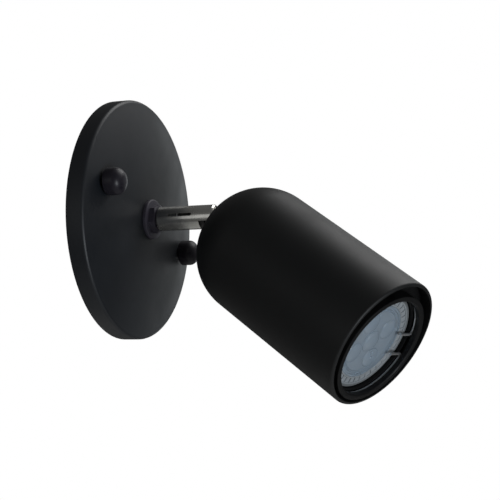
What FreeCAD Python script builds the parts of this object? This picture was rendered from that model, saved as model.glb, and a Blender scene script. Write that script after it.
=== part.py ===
import FreeCAD, Part
import os
import re
import Sketcher

# Pivoting spotlight wall light, in millimetres.
# Row frame: +Z up, the wall is the plane y = 0 and the light stands out towards -Y.
# The origin is on the wall, at the middle of the round canopy.

SIZES = {
    # Round canopy: a pressed dish with a flat hub in the middle and a flat seat under each cap nut.
    "canopy_radius": 60.3,
    "canopy_rim_depth": 9.2,
    "canopy_dome_rise": 5.2,
    "canopy_edge_radius": 1.8,
    "canopy_wall": 1.0,
    "canopy_hub_radius": 11.0,
    # Mounting plate behind the canopy, with two slots for the screws of the wall box.
    "plate_radius": 52.0,
    "plate_thickness": 1.6,
    "wire_hole_radius": 16.0,
    "box_slot_spacing": 79.375,
    "box_slot_length": 14.1,
    "box_slot_width": 4.6,
    # Studs that carry the cap nuts, on a line that slants across the plate.
    "stud_spacing": 88.9,
    "stud_line_angle": -20.3,
    "stud_radius": 2.05,
    "stud_hole_play": 0.35,
    "stud_nut_flats": 7.0,
    "stud_nut_thickness": 2.6,
    "cap_nut_radius": 6.6,
    "cap_nut_height": 8.9,
    "cap_nut_skirt": 4.4,
    "cap_nut_top_radius": 2.8,
    "cap_nut_crown_radius": 5.0,
    "cap_nut_bore_depth": 6.2,
    "stud_end_gap": 0.4,
    # Earth screw of the plate.
    "ground_screw_offset": 29.0,
    "ground_thread_radius": 1.9,
    "ground_head_radius": 3.6,
    "ground_head_height": 2.4,
    "driver_slot_width": 0.9,
    "driver_slot_depth": 0.9,
    # Hollow nipple through the canopy and what clamps it there.
    "nipple_radius": 4.98,
    "nipple_bore_radius": 3.3,
    "nipple_tail": 6.4,
    "nipple_grip": 11.0,
    "thread_play": 0.05,
    "locknut_flats": 14.0,
    "locknut_thickness": 3.4,
    "lock_washer_radius": 8.6,
    "lock_washer_thickness": 0.8,
    "lock_washer_teeth": 12.0,
    "lock_washer_tooth_depth": 1.4,
    "lock_washer_gap_width": 1.5,
    "seating_washer_radius": 10.0,
    "seating_washer_thickness": 1.9,
    "jam_nut_flats": 13.0,
    "jam_nut_thickness": 3.0,
    "nut_chamfer": 0.6,
    # Barrel that turns on the nipple.
    "barrel_radius": 6.0,
    "barrel_length": 30.6,
    "barrel_bore_radius": 5.06,
    "barrel_chamfer": 0.7,
    "turning_gap": 0.1,
    "slit_start": 7.1,
    "slit_length": 12.5,
    "slit_width": 1.5,
    "slit_angle": 285.0,
    "notch_length": 7.4,
    "notch_width": 8.0,
    "pivot_from_end": 1.6,
    # Stop screw in the barrel and its groove in the nipple: they hold the barrel and limit its turn.
    "stop_screw_angle": 108.0,
    "stop_screw_distance": 5.0,
    "stop_screw_radius": 1.2,
    "stop_screw_sink": 0.1,
    "stop_dog_radius": 0.7,
    "stop_socket_radius": 0.6,
    "stop_socket_depth": 0.45,
    "stop_groove_depth": 0.9,
    "stop_web_angle": 19.0,
    "running_play": 0.06,
    # Friction parts behind the knuckle's ball.
    "disc_spring_bore_radius": 3.6,
    "disc_spring_radius": 4.9,
    "disc_spring_thickness": 0.6,
    "disc_spring_rise": 0.5,
    "friction_sleeve_radius": 5.0,
    "friction_sleeve_bore_radius": 3.2,
    "friction_cup_reach": 3.2,
    # Knuckle: hollow ball, neck, flange and threaded shank, with two short pivot pins.
    "ball_radius": 5.0,
    "neck_radius": 3.4,
    "knuckle_bore_radius": 2.0,
    "flange_radius": 5.2,
    "flange_thickness": 1.5,
    "shank_radius": 3.9,
    "shank_spare": 1.0,
    "pin_radius": 0.75,
    "pin_end_radius": 5.95,
    "pin_inner_radius": 3.1,
    # How far the head stands from the ball, and the pose in the photograph.
    "head_standoff": 6.95,
    "bend_angle": 36.95,
    "pan_angle": -117.5,
    # Head: a tube with a round back, as wide as the lamp and the ring in its mouth need.
    "head_length": 110.0,
    "head_wall": 1.6,
    "head_back_flat": 2.5,
    "head_boss_thickness": 2.35,
    "head_spot_depth": 0.15,
    "head_mouth_radius": 1.2,
    # Clamp stack on the shank and the strip that carries the lampholder.
    "shell_washer_radius": 8.5,
    "shell_washer_thickness": 1.0,
    "shell_nut_flats": 13.0,
    "shell_nut_thickness": 4.0,
    "bracket_width": 12.0,
    "bracket_half_span": 9.0,
    "bracket_thickness": 1.0,
    "bracket_tab_reach": 13.5,
    "bracket_bend_height": 21.0,
    "earth_screw_height": 17.0,
    "earth_thread_radius": 1.45,
    "earth_head_radius": 3.0,
    "earth_head_height": 2.0,
    # Lampholder and its two screws.
    "holder_radius": 14.0,
    "holder_length": 20.5,
    "holder_screw_offset": 10.7,
    "holder_screw_radius": 1.35,
    "holder_hole_play": 0.2,
    "holder_head_radius": 2.5,
    "holder_head_height": 1.5,
    "holder_counterbore": 2.0,
    "holder_edge_chamfer": 0.8,
    # Leads from the lampholder to the knuckle.
    "lead_radius": 0.8,
    "lead_inner_offset": 0.95,
    "lead_straight": 3.0,
    "lead_entry_depth": 1.2,
    "lead_hole_play": 0.1,
    # How far the lamp, its holder and the ring round it hang off the head's own axis.
    "sag_across": 1.5,
    "sag_along": 1.9,
    # Reflector lamp on two pins; its widths build outwards from the lens.
    "lens_radius": 18.5,
    "bezel_width": 4.0,
    "bezel_play": 0.05,
    "bezel_ledge": 1.2,
    "lamp_rim_wall": 1.2,
    "lamp_depth": 6.5,
    "lamp_length": 46.4,
    "lamp_base_radius": 11.8,
    "lamp_throat_radius": 12.6,
    "lamp_throat_height": 8.0,
    "lamp_rim_height": 4.2,
    "lamp_cone_bulge": 62.0,
    "lamp_cup_depth": 11.3,
    "lamp_pin_offset": 5.0,
    "lamp_pin_radius": 1.5,
    "lamp_foot_radius": 2.45,
    "lamp_foot_height": 2.4,
    "lamp_pin_length": 7.2,
    "socket_play": 0.25,
    "board_play": 1.6,
    "board_thickness": 1.2,
    "lens_thickness": 5.0,
    "lens_crown": 0.6,
    # Ring in the mouth: a flange that fills the tube and a collar round the lamp, with the clip's groove.
    "front_ring_recess": 0.3,
    "front_ring_play": 0.1,
    "front_ring_width": 5.65,
    "front_ring_step": 6.0,
    "front_ring_collar_wall": 0.7,
    "front_ring_length": 12.0,
    "front_ring_lamp_play": 0.35,
    "front_ring_chamfer": 0.5,
    "clip_groove_width": 1.7,
    # Spring wire ring with two ends bent inwards.
    "clip_reach": 1.25,
    "clip_wire_radius": 0.65,
    "clip_seat_play": 0.05,
    "clip_depth": 3.9,
    "clip_end_half_gap": 5.15,
    "clip_end_bend_radius": 1.7,
    "clip_end_inner": 15.6,
    "clip_angle": 122.0,
}

# Places worked out from the sizes. z runs out of the wall in the wall's frame,
# and from the pivot along the head in the head's frame.
PLACES = {
    "stud_reach": "stud_spacing / 2",
    "stud_bore_radius": "stud_radius + thread_play",
    "canopy_face": "canopy_rim_depth + canopy_dome_rise",
    "dome_foot": "canopy_radius - canopy_edge_radius",
    "dome_drop": "(dome_foot^2 - canopy_hub_radius^2 - canopy_dome_rise^2) / (2 * canopy_dome_rise)",
    "dome_radius": "sqrt(dome_foot^2 + dome_drop^2)",
    "dome_inner_radius": "dome_radius - canopy_wall",
    "nut_seat_reach": "stud_reach - cap_nut_radius",
    "cap_nut_seat": "canopy_rim_depth - dome_drop + sqrt(dome_radius^2 - nut_seat_reach^2) + 0.02",
    "inner_wall_radius": "canopy_radius - canopy_wall",
    "inner_dome_foot": "canopy_rim_depth - dome_drop + sqrt(dome_inner_radius^2 - inner_wall_radius^2)",
    "inner_hub": "canopy_face - canopy_wall",
    "inner_hub_radius": "sqrt(dome_inner_radius^2 - (inner_hub - canopy_rim_depth + dome_drop)^2)",
    "nipple_hole_radius": "nipple_radius + thread_play",
    "washer_front": "canopy_face + seating_washer_thickness",
    "jam_front": "washer_front + jam_nut_thickness",
    "barrel_root": "jam_front + turning_gap",
    "barrel_end": "barrel_root + barrel_length",
    "nipple_end": "barrel_root + nipple_grip",
    "pivot": "barrel_end - pivot_from_end",
    "stop_height": "barrel_root + stop_screw_distance",
    "stop_groove_radius": "nipple_radius - stop_groove_depth",
    "stop_outer": "barrel_radius - stop_screw_sink",
    "stop_tip": "stop_groove_radius + running_play",
    "spring_back": "nipple_end + running_play",
    "sleeve_back": "spring_back + disc_spring_thickness + disc_spring_rise + running_play",
    "cup_radius": "ball_radius + running_play",
    "sleeve_front": "pivot - friction_cup_reach",
    "cup_mouth": "sqrt(cup_radius^2 - friction_cup_reach^2)",
    "cup_floor": "pivot - sqrt(cup_radius^2 - friction_sleeve_bore_radius^2)",
    "ball_mouth": "sqrt(ball_radius^2 - knuckle_bore_radius^2)",
    "neck_root": "sqrt(ball_radius^2 - neck_radius^2)",
    "shell_seat": "head_standoff + head_spot_depth",
    "flange_back": "shell_seat - flange_thickness",
    "lamp_cup_radius": "lens_radius + bezel_width + 2 * bezel_play",
    "lamp_radius": "lamp_cup_radius + lamp_rim_wall",
    "board_radius": "lamp_cup_radius - board_play",
    "ring_bore_radius": "lamp_radius + front_ring_lamp_play",
    "ring_radius": "ring_bore_radius + front_ring_width",
    "head_bore_radius": "ring_radius + front_ring_play",
    "head_radius": "head_bore_radius + head_wall",
    "head_back_radius": "head_radius - head_back_flat",
    "clip_radius": "ring_bore_radius + clip_reach",
    "back_centre": "head_standoff + head_back_radius",
    "back_inner_radius": "head_back_radius - head_wall",
    "spot_radius": "head_back_flat + sqrt(head_back_radius^2 - (back_centre - shell_seat)^2)",
    "boss_face": "shell_seat + head_boss_thickness",
    "boss_radius": "head_back_flat + sqrt(back_inner_radius^2 - (back_centre - boss_face)^2)",
    "mouth": "head_standoff + head_length",
    "bracket_foot": "boss_face + shell_washer_thickness",
    "bracket_floor": "bracket_foot + bracket_thickness",
    "arm_bend": "bracket_foot + bracket_bend_height",
    "nut_top": "bracket_floor + shell_nut_thickness",
    "shank_end": "nut_top + shank_spare",
    "shank_hole_radius": "shank_radius + thread_play",
    "lens_face": "mouth - lamp_depth",
    "lamp_base": "lens_face - lamp_length",
    "holder_back": "lamp_base - holder_length",
    "tab_back": "holder_back - bracket_thickness",
    "bracket_inner_span": "bracket_half_span - bracket_thickness",
    "earth_height": "bracket_foot + earth_screw_height",
    "screw_seat": "lamp_base - holder_counterbore",
    "pin_end": "lamp_base - lamp_pin_length",
    "lamp_throat": "lamp_base + lamp_throat_height",
    "lamp_rim_back": "lens_face - lamp_rim_height",
    "lamp_cup_floor": "lens_face - lamp_cup_depth",
    "board_top": "lamp_cup_floor + board_thickness",
    "lens_back": "lens_face - lens_thickness",
    "lens_bulge": "(lens_radius^2 + lens_crown^2) / (2 * lens_crown)",
    "ring_face": "mouth - front_ring_recess",
    "clip_height": "mouth - clip_depth",
    "groove_radius": "clip_radius + clip_wire_radius + clip_seat_play",
    "collar_radius": "groove_radius + front_ring_collar_wall",
    "groove_front": "clip_height + clip_groove_width / 2",
    "groove_back": "clip_height - clip_groove_width / 2",
    "ring_back": "ring_face - front_ring_length",
    "ring_step": "ring_face - front_ring_step",
    "clip_bend_reach": "sqrt((clip_radius - clip_end_bend_radius)^2"
                       " - (clip_end_half_gap + clip_end_bend_radius)^2)",
    "clip_touch": "clip_radius / (clip_radius - clip_end_bend_radius)",
    "lead_turn": "shank_end + lead_straight",
    "lead_top": "holder_back - lead_straight",
    "lead_end": "holder_back + lead_entry_depth",
}

doc = FreeCAD.newDocument("pivoting_spotlight")
sheet = doc.addObject("Spreadsheet::Sheet", "sizes")
for row, (alias, size) in enumerate(SIZES.items(), start=1):
    sheet.set("A%d" % row, alias.replace("_", " "))
    sheet.set("B%d" % row, str(size))
    sheet.setAlias("B%d" % row, alias)
doc.recompute()

LINE = "line"
LEFT = 1
RIGHT = -1
AXIS_LINE = 10.0
parts = []


def bound(text):
    """Turn a formula in plain size names into an expression on the sheet."""
    def swap(match):
        word = match.group(0)
        if word in PLACES:
            return "(" + bound(PLACES[word]) + ")"
        if word in SIZES:
            return "sizes." + word
        return word
    return re.sub(r"[a-z][a-z_]+", swap, text)


def value(text):
    """Give the number that a formula in size names comes to."""
    return float(sheet.evalExpression(bound(text)))


def turn(axis, angle):
    return FreeCAD.Rotation(FreeCAD.Vector(*axis), angle)


def wall_frame(angle=0.0, across=0.0, along=0.0):
    """z out of the wall, x level, then turned about z; the origin moves in the wall's plane."""
    out = turn((1, 0, 0), 90).multiply(turn((0, 0, 1), angle))
    return FreeCAD.Placement(FreeCAD.Vector(across, 0, along), out)


def swivel_frame(angle=0.0):
    """The wall's frame turned with the barrel: x is the way the head bends, y is the pivot axis."""
    return wall_frame(value("pan_angle") + angle)


def head_frame(angle=0.0):
    """z along the head from the pivot, x in the plane that the head bends in."""
    pivot = swivel_frame().multVec(FreeCAD.Vector(0, 0, value("pivot")))
    way = swivel_frame().Rotation.multiply(turn((0, 1, 0), value("bend_angle")))
    return FreeCAD.Placement(pivot, way.multiply(turn((0, 0, 1), angle)))


def carriage_frame(angle=0.0):
    """The head's frame moved to the lamp's own axis, which hangs a little below the head's."""
    centre = head_frame().multVec(FreeCAD.Vector(value("sag_across"), value("sag_along"), 0))
    return FreeCAD.Placement(centre, head_frame(angle).Rotation)


def new_body(name, frame):
    body = doc.addObject("PartDesign::Body", name)
    body.Label = name
    body.AllowCompound = True
    body.Placement = frame
    parts.append(body)
    return body


def origin_item(body, role):
    for item in body.Origin.OriginFeatures:
        if item.Role == role:
            return item
    raise ValueError("no origin item " + role)


def new_sketch(body, plane, height="0", swing=0.0):
    """A sketch on an origin plane, lifted by height along its normal or swung about its own y axis."""
    sketch = body.newObject("Sketcher::SketchObject", body.Name + "_sketch")
    sketch.AttachmentSupport = [(origin_item(body, plane), "")]
    sketch.MapMode = "FlatFace"
    sketch.AttachmentOffset = FreeCAD.Placement(FreeCAD.Vector(), turn((0, 1, 0), swing))
    if height != "0":
        sketch.setExpression("AttachmentOffset.Base.z", bound(height))
    return sketch


def tie_point(sketch, geometry, point, across, along):
    """Bind one point of the sketch to two formulas."""
    for kind, axis, text in (("DistanceX", -2, across), ("DistanceY", -1, along)):
        if text == "0":
            sketch.addConstraint(Sketcher.Constraint("PointOnObject", geometry, point, axis))
            continue
        tie = Sketcher.Constraint(kind, -1, 1, geometry, point, value(text))
        index = sketch.addConstraint(tie)
        sketch.setExpression("Constraints[%d]" % index, bound(text))


def add_arc(sketch, start, end, radius, side):
    """Arc shorter than a half turn from start to end, with its centre on the given side of the way."""
    chord = end.sub(start)
    reach = radius ** 2 - (chord.Length / 2) ** 2
    across = FreeCAD.Vector(-chord.y, chord.x, 0).normalize()
    centre = start.add(end).multiply(0.5).add(across.multiply(side * max(reach, 0.0) ** 0.5))
    first, last = (start, end) if side == LEFT else (end, start)
    circle = Part.Circle(centre, FreeCAD.Vector(0, 0, 1), radius)
    begin = circle.parameter(first)
    finish = circle.parameter(last)
    return sketch.addGeometry(Part.ArcOfCircle(circle, begin, finish), False)


def draw(sketch, corners, closed=True):
    """Draw an outline: a corner is (across, along), or with (radius, side) where an arc ends there."""
    spots = [FreeCAD.Vector(value(corner[0]), value(corner[1]), 0) for corner in corners]
    runs = []
    first = 0 if closed else 1
    for i in range(first, len(corners)):
        if len(corners[i]) == 2:
            index = sketch.addGeometry(Part.LineSegment(spots[i - 1], spots[i]), False)
            runs.append((index, 1, 2))
            continue
        radius, side = corners[i][2:]
        index = add_arc(sketch, spots[i - 1], spots[i], value(radius), side)
        runs.append((index, 1, 2) if side == LEFT else (index, 2, 1))
    for i, (index, _, end) in enumerate(runs):
        corner = corners[i + first]
        tie_point(sketch, index, end, corner[0], corner[1])
        if closed or i + 1 < len(runs):
            follower, start, _ = runs[(i + 1) % len(runs)]
            sketch.addConstraint(Sketcher.Constraint("Coincident", index, end, follower, start))
        if len(corner) == 4:
            tie = Sketcher.Constraint("Radius", index, value(corner[2]))
            sketch.setExpression("Constraints[%d]" % sketch.addConstraint(tie), bound(corner[2]))
    if not closed:
        tie_point(sketch, runs[0][0], runs[0][1], corners[0][0], corners[0][1])
    return sketch


def draw_circle(sketch, radius, across="0", along="0"):
    centre = FreeCAD.Vector(value(across), value(along), 0)
    circle = Part.Circle(centre, FreeCAD.Vector(0, 0, 1), value(radius))
    index = sketch.addGeometry(circle, False)
    tie_point(sketch, index, 3, across, along)
    tie = sketch.addConstraint(Sketcher.Constraint("Radius", index, value(radius)))
    sketch.setExpression("Constraints[%d]" % tie, bound(radius))
    return sketch


def revolve(body, corners, axis_at="0"):
    """Turn an outline in the xz plane about z, or about a line beside it."""
    sketch = draw(new_sketch(body, "XZ_Plane"), corners)
    axis = "V_Axis"
    if axis_at != "0":
        place = value(axis_at)
        line = Part.LineSegment(FreeCAD.Vector(place, 0, 0), FreeCAD.Vector(place, AXIS_LINE, 0))
        index = sketch.addGeometry(line, True)
        sketch.addConstraint(Sketcher.Constraint("Vertical", index))
        sketch.addConstraint(Sketcher.Constraint("DistanceY", index, 1, index, 2, AXIS_LINE))
        tie_point(sketch, index, 1, axis_at, "0")
        axis = "Axis0"
    feature = body.newObject("PartDesign::Revolution", body.Name + "_turned")
    feature.Profile = sketch
    feature.ReferenceAxis = (sketch, [axis])
    feature.Angle = 360
    body.Tip = feature
    return feature


def pad(body, sketch, length, both_ways=False):
    feature = body.newObject("PartDesign::Pad", body.Name + "_pad")
    feature.Profile = sketch
    feature.setExpression("Length", bound(length))
    if both_ways:
        feature.SideType = "Symmetric"
    body.Tip = feature
    return feature


def cut(body, sketch, forward=False, both_ways=False, depth=None):
    """Cut a sketch through the solid: backwards from its plane, forwards, or both ways."""
    doc.recompute()
    before = body.Shape.Volume
    feature = body.newObject("PartDesign::Pocket", body.Name + "_cut")
    feature.Profile = sketch
    feature.Type = "ThroughAll" if depth is None else "Length"
    if depth is not None:
        feature.setExpression("Length", bound(depth))
    feature.Reversed = forward
    if both_ways:
        feature.SideType = "Symmetric"
    body.Tip = feature
    doc.recompute()
    if body.Shape.Volume > before - 1e-6:
        raise RuntimeError("nothing was cut from " + body.Name)
    return feature


def turned_cut(body, corners, angle="360"):
    """Turn an outline in the xz plane about z and take it away, the same angle to each side."""
    doc.recompute()
    before = body.Shape.Volume
    feature = body.newObject("PartDesign::Groove", body.Name + "_groove")
    feature.Profile = draw(new_sketch(body, "XZ_Plane"), corners)
    feature.ReferenceAxis = (feature.Profile[0], ["V_Axis"])
    feature.Midplane = True
    feature.setExpression("Angle", bound(angle))
    body.Tip = feature
    doc.recompute()
    if body.Shape.Volume > before - 1e-6:
        raise RuntimeError("nothing was grooved in " + body.Name)
    return feature


def repeat(body, features, count):
    """Repeat features evenly about z."""
    pattern = body.newObject("PartDesign::PolarPattern", body.Name + "_ring")
    pattern.Originals = features
    pattern.Axis = (origin_item(body, "Z_Axis"), [""])
    pattern.Angle = 360
    pattern.setExpression("Occurrences", bound(count))
    body.Tip = pattern
    doc.recompute()
    return pattern


def hexagon(sketch, flats, across="0"):
    """A hexagon with two corners on the x axis."""
    corner = flats + " / sqrt(3)"
    half = flats + " / 2"
    spots = [
        (across + " + " + corner, "0"),
        (across + " + " + corner + " / 2", half),
        (across + " - " + corner + " / 2", half),
        (across + " - " + corner, "0"),
        (across + " - " + corner + " / 2", "-" + half),
        (across + " + " + corner + " / 2", "-" + half),
    ]
    return draw(sketch, spots)


def hex_nut(name, frame, flats, thickness, bore, base):
    """A hexagon nut on the frame's z axis, its corners turned off at both faces."""
    body = new_body(name, frame)
    sketch = hexagon(new_sketch(body, "XY_Plane", base), flats)
    draw_circle(sketch, bore)
    pad(body, sketch, thickness)
    rim = flats + " / sqrt(3) + 0.1"
    flat_edge = flats + " / 2"
    top = base + " + " + thickness
    turned_cut(body, [(flat_edge, top), (rim, top), (rim, top + " - nut_chamfer")])
    turned_cut(body, [(flat_edge, base), (rim, base + " + nut_chamfer"), (rim, base)])
    return body


def tube(name, frame, bore, radius, start, end):
    body = new_body(name, frame)
    revolve(body, [(bore, start), (radius, start), (radius, end), (bore, end)])
    return body


def stadium(sketch, across, along, length, width, upright=False):
    """A slot with round ends; its length runs across, or along where it is upright."""
    half = "(" + width + ") / 2"
    run = "((" + length + ") - (" + width + ")) / 2"
    steps = [("-1", "-1", None), ("1", "-1", None), ("e", "0", LEFT), ("1", "1", LEFT),
             ("-1", "1", None), ("-e", "0", LEFT), ("-1", "-1", LEFT)]
    corners = []
    for long_way, short_way, side in steps[:-1]:
        if long_way in ("e", "-e"):
            stretch = long_way.replace("e", "") + "(" + run + " + " + half + ")"
        else:
            stretch = long_way + " * " + run
        rise = "0" if short_way == "0" else short_way + " * " + half
        x_text, y_text = (rise, stretch) if upright else (stretch, rise)
        x_text = across if x_text == "0" else (x_text if across == "0" else across + " + " + x_text)
        y_text = along if y_text == "0" else (y_text if along == "0" else along + " + " + y_text)
        corner = (x_text, y_text)
        corners.append(corner if side is None else corner + (half, side))
    corners[0] = corners[0] + (half, LEFT)
    if upright:
        corners = [c if len(c) == 2 else (c[0], c[1], c[2], RIGHT) for c in corners]
    return draw(sketch, corners)


# Wall side

def mounting_plate():
    body = new_body("mounting_plate", wall_frame())
    sketch = draw_circle(new_sketch(body, "XY_Plane"), "plate_radius")
    draw_circle(sketch, "wire_hole_radius")
    pad(body, sketch, "plate_thickness")
    holes = new_sketch(body, "XY_Plane")
    for way in ("-1", "1"):
        stadium(holes, way + " * box_slot_spacing / 2", "0", "box_slot_length", "box_slot_width")
        across = way + " * stud_reach * cos(stud_line_angle)"
        along = way + " * stud_reach * sin(stud_line_angle)"
        draw_circle(holes, "stud_bore_radius", across, along)
    draw_circle(holes, "ground_thread_radius + thread_play", "0", "-ground_screw_offset")
    cut(body, holes, forward=True)


def canopy_studs():
    body = new_body("canopy_studs", wall_frame(value("stud_line_angle")))
    sketch = draw_circle(new_sketch(body, "XY_Plane"), "stud_radius", "stud_reach")
    stud = pad(body, sketch, "cap_nut_seat + cap_nut_bore_depth - stud_end_gap")
    repeat(body, [stud], "2")


def stud_nuts():
    body = new_body("stud_nuts", wall_frame(value("stud_line_angle")))
    sketch = hexagon(new_sketch(body, "XY_Plane", "plate_thickness"), "stud_nut_flats", "stud_reach")
    draw_circle(sketch, "stud_bore_radius", "stud_reach")
    nut = pad(body, sketch, "stud_nut_thickness")
    repeat(body, [nut], "2")


def ground_screw():
    body = new_body("ground_screw", wall_frame(0.0, 0.0, -value("ground_screw_offset")))
    revolve(body, [
        ("0", "0"),
        ("ground_thread_radius", "0"),
        ("ground_thread_radius", "plate_thickness"),
        ("ground_head_radius", "plate_thickness"),
        ("ground_head_radius", "plate_thickness + ground_head_height"),
        ("0", "plate_thickness + ground_head_height"),
    ])
    slot = new_sketch(body, "XY_Plane", "plate_thickness + ground_head_height")
    reach = "ground_head_radius + 1"
    half = "driver_slot_width / 2"
    draw(slot, [("-(" + reach + ")", "-" + half), (reach, "-" + half),
                (reach, half), ("-(" + reach + ")", half)])
    cut(body, slot, depth="driver_slot_depth")


def canopy():
    body = new_body("canopy", wall_frame(value("stud_line_angle")))
    revolve(body, [
        ("nipple_hole_radius", "inner_hub"),
        ("inner_hub_radius", "inner_hub"),
        ("inner_wall_radius", "inner_dome_foot", "dome_inner_radius", RIGHT),
        ("inner_wall_radius", "0"),
        ("canopy_radius", "0"),
        ("canopy_radius", "canopy_rim_depth - canopy_edge_radius"),
        ("dome_foot", "canopy_rim_depth", "canopy_edge_radius", LEFT),
        ("canopy_hub_radius", "canopy_face", "dome_radius", LEFT),
        ("nipple_hole_radius", "canopy_face"),
    ])
    seat_drop = "canopy_wall * 1.5"
    seats = new_sketch(body, "XY_Plane", "cap_nut_seat - " + seat_drop)
    draw_circle(seats, "cap_nut_radius + 0.1", "stud_reach")
    draw_circle(seats, "cap_nut_radius + 0.1", "-stud_reach")
    pad(body, seats, seat_drop)
    holes = new_sketch(body, "XY_Plane")
    draw_circle(holes, "stud_radius + stud_hole_play", "stud_reach")
    draw_circle(holes, "stud_radius + stud_hole_play", "-stud_reach")
    cut(body, holes, forward=True)


def cap_nuts():
    body = new_body("cap_nuts", wall_frame(value("stud_line_angle")))
    top = "cap_nut_seat + cap_nut_height"
    floor = "cap_nut_seat + cap_nut_bore_depth"
    nut = revolve(body, [
        ("stud_reach", floor),
        ("stud_reach + stud_bore_radius", floor),
        ("stud_reach + stud_bore_radius", "cap_nut_seat"),
        ("stud_reach + cap_nut_radius", "cap_nut_seat"),
        ("stud_reach + cap_nut_radius", "cap_nut_seat + cap_nut_skirt"),
        ("stud_reach + cap_nut_top_radius", top, "cap_nut_crown_radius", LEFT),
        ("stud_reach", top),
    ], "stud_reach")
    repeat(body, [nut], "2")


def nipple():
    body = new_body("nipple", swivel_frame(value("stop_screw_angle")))
    revolve(body, [
        ("nipple_bore_radius", "nipple_tail"),
        ("nipple_radius", "nipple_tail"),
        ("nipple_radius", "nipple_end"),
        ("nipple_bore_radius", "nipple_end"),
    ])
    lower = "stop_height - stop_dog_radius - running_play"
    upper = "stop_height + stop_dog_radius + running_play"
    turned_cut(body, [
        ("stop_groove_radius", lower),
        ("nipple_radius + 0.5", lower),
        ("nipple_radius + 0.5", upper),
        ("stop_groove_radius", upper),
    ], "360 - stop_web_angle")


def lock_washer():
    body = tube("lock_washer", wall_frame(), "nipple_hole_radius", "lock_washer_radius",
                "inner_hub - lock_washer_thickness", "inner_hub")
    gap = new_sketch(body, "XY_Plane")
    reach = "lock_washer_radius - lock_washer_tooth_depth"
    half = "lock_washer_gap_width / 2"
    draw(gap, [(reach, "-" + half), ("lock_washer_radius + 1", "-" + half),
               ("lock_washer_radius + 1", half), (reach, half)])
    gap_cut = cut(body, gap, forward=True)
    repeat(body, [gap_cut], "lock_washer_teeth")


def nipple_locknut():
    hex_nut("nipple_locknut", wall_frame(), "locknut_flats", "locknut_thickness",
            "nipple_hole_radius", "inner_hub - lock_washer_thickness - locknut_thickness")


def seating_washer():
    body = new_body("seating_washer", wall_frame())
    revolve(body, [
        ("nipple_hole_radius", "canopy_face"),
        ("seating_washer_radius", "canopy_face"),
        ("seating_washer_radius", "washer_front - nut_chamfer"),
        ("seating_washer_radius - nut_chamfer", "washer_front", "nut_chamfer", LEFT),
        ("nipple_hole_radius", "washer_front"),
    ])


def jam_nut():
    hex_nut("jam_nut", wall_frame(15.0), "jam_nut_flats", "jam_nut_thickness",
            "nipple_hole_radius", "washer_front")


# Barrel

def swivel_barrel():
    body = new_body("swivel_barrel", swivel_frame())
    revolve(body, [
        ("barrel_bore_radius", "barrel_root"),
        ("barrel_radius - barrel_chamfer", "barrel_root"),
        ("barrel_radius", "barrel_root + barrel_chamfer"),
        ("barrel_radius", "barrel_end - barrel_chamfer"),
        ("barrel_radius - barrel_chamfer", "barrel_end"),
        ("barrel_bore_radius", "barrel_end"),
    ])
    notch = new_sketch(body, "YZ_Plane")
    foot = "barrel_end - notch_length"
    half = "notch_width / 2"
    draw(notch, [("-" + half, foot), (half, foot),
                 (half, "barrel_end + 1"), ("-" + half, "barrel_end + 1")])
    cut(body, notch, forward=True)
    slit = new_sketch(body, "YZ_Plane", swing=value("slit_angle"))
    slit_middle = "barrel_root + slit_start + slit_length / 2"
    stadium(slit, "0", slit_middle, "slit_length", "slit_width", upright=True)
    cut(body, slit, forward=True)
    screw_hole = new_sketch(body, "YZ_Plane", swing=value("stop_screw_angle"))
    draw_circle(screw_hole, "stop_screw_radius + thread_play", "0", "stop_height")
    cut(body, screw_hole, forward=True)
    pin_holes = new_sketch(body, "XZ_Plane")
    draw_circle(pin_holes, "pin_radius + thread_play / 2", "0", "pivot")
    cut(body, pin_holes, both_ways=True)


def stop_screw():
    frame = swivel_frame(value("stop_screw_angle"))
    way = frame.Rotation.multiply(turn((0, 1, 0), 90))
    place = frame.multVec(FreeCAD.Vector(0, 0, value("stop_height")))
    body = new_body("stop_screw", FreeCAD.Placement(place, way))
    revolve(body, [
        ("0", "stop_tip"),
        ("stop_dog_radius", "stop_tip"),
        ("stop_dog_radius", "barrel_bore_radius"),
        ("stop_screw_radius", "barrel_bore_radius"),
        ("stop_screw_radius", "stop_outer"),
        ("stop_socket_radius", "stop_outer"),
        ("stop_socket_radius", "stop_outer - stop_socket_depth"),
        ("0", "stop_outer - stop_socket_depth"),
    ])


def disc_spring():
    body = new_body("disc_spring", swivel_frame())
    revolve(body, [
        ("disc_spring_bore_radius", "spring_back + disc_spring_rise"),
        ("disc_spring_radius", "spring_back"),
        ("disc_spring_radius", "spring_back + disc_spring_thickness"),
        ("disc_spring_bore_radius", "spring_back + disc_spring_rise + disc_spring_thickness"),
    ])


def friction_sleeve():
    body = new_body("friction_sleeve", swivel_frame())
    revolve(body, [
        ("friction_sleeve_bore_radius", "sleeve_back"),
        ("friction_sleeve_radius", "sleeve_back"),
        ("friction_sleeve_radius", "sleeve_front"),
        ("cup_mouth", "sleeve_front"),
        ("friction_sleeve_bore_radius", "cup_floor", "cup_radius", RIGHT),
    ])


def pivot_pins():
    body = new_body("pivot_pins", swivel_frame())
    sketch = draw_circle(new_sketch(body, "XZ_Plane", "pin_inner_radius"), "pin_radius", "0", "pivot")
    pin = pad(body, sketch, "pin_end_radius - pin_inner_radius")
    repeat(body, [pin], "2")


# Head

def knuckle():
    body = new_body("knuckle", head_frame())
    revolve(body, [
        ("knuckle_bore_radius", "-ball_mouth"),
        ("neck_radius", "neck_root", "ball_radius", LEFT),
        ("neck_radius", "flange_back"),
        ("flange_radius", "flange_back"),
        ("flange_radius", "shell_seat"),
        ("shank_radius", "shell_seat"),
        ("shank_radius", "shank_end"),
        ("knuckle_bore_radius", "shank_end"),
    ])
    pin_holes = new_sketch(body, "XZ_Plane")
    draw_circle(pin_holes, "pin_radius + running_play")
    cut(body, pin_holes, both_ways=True)


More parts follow.
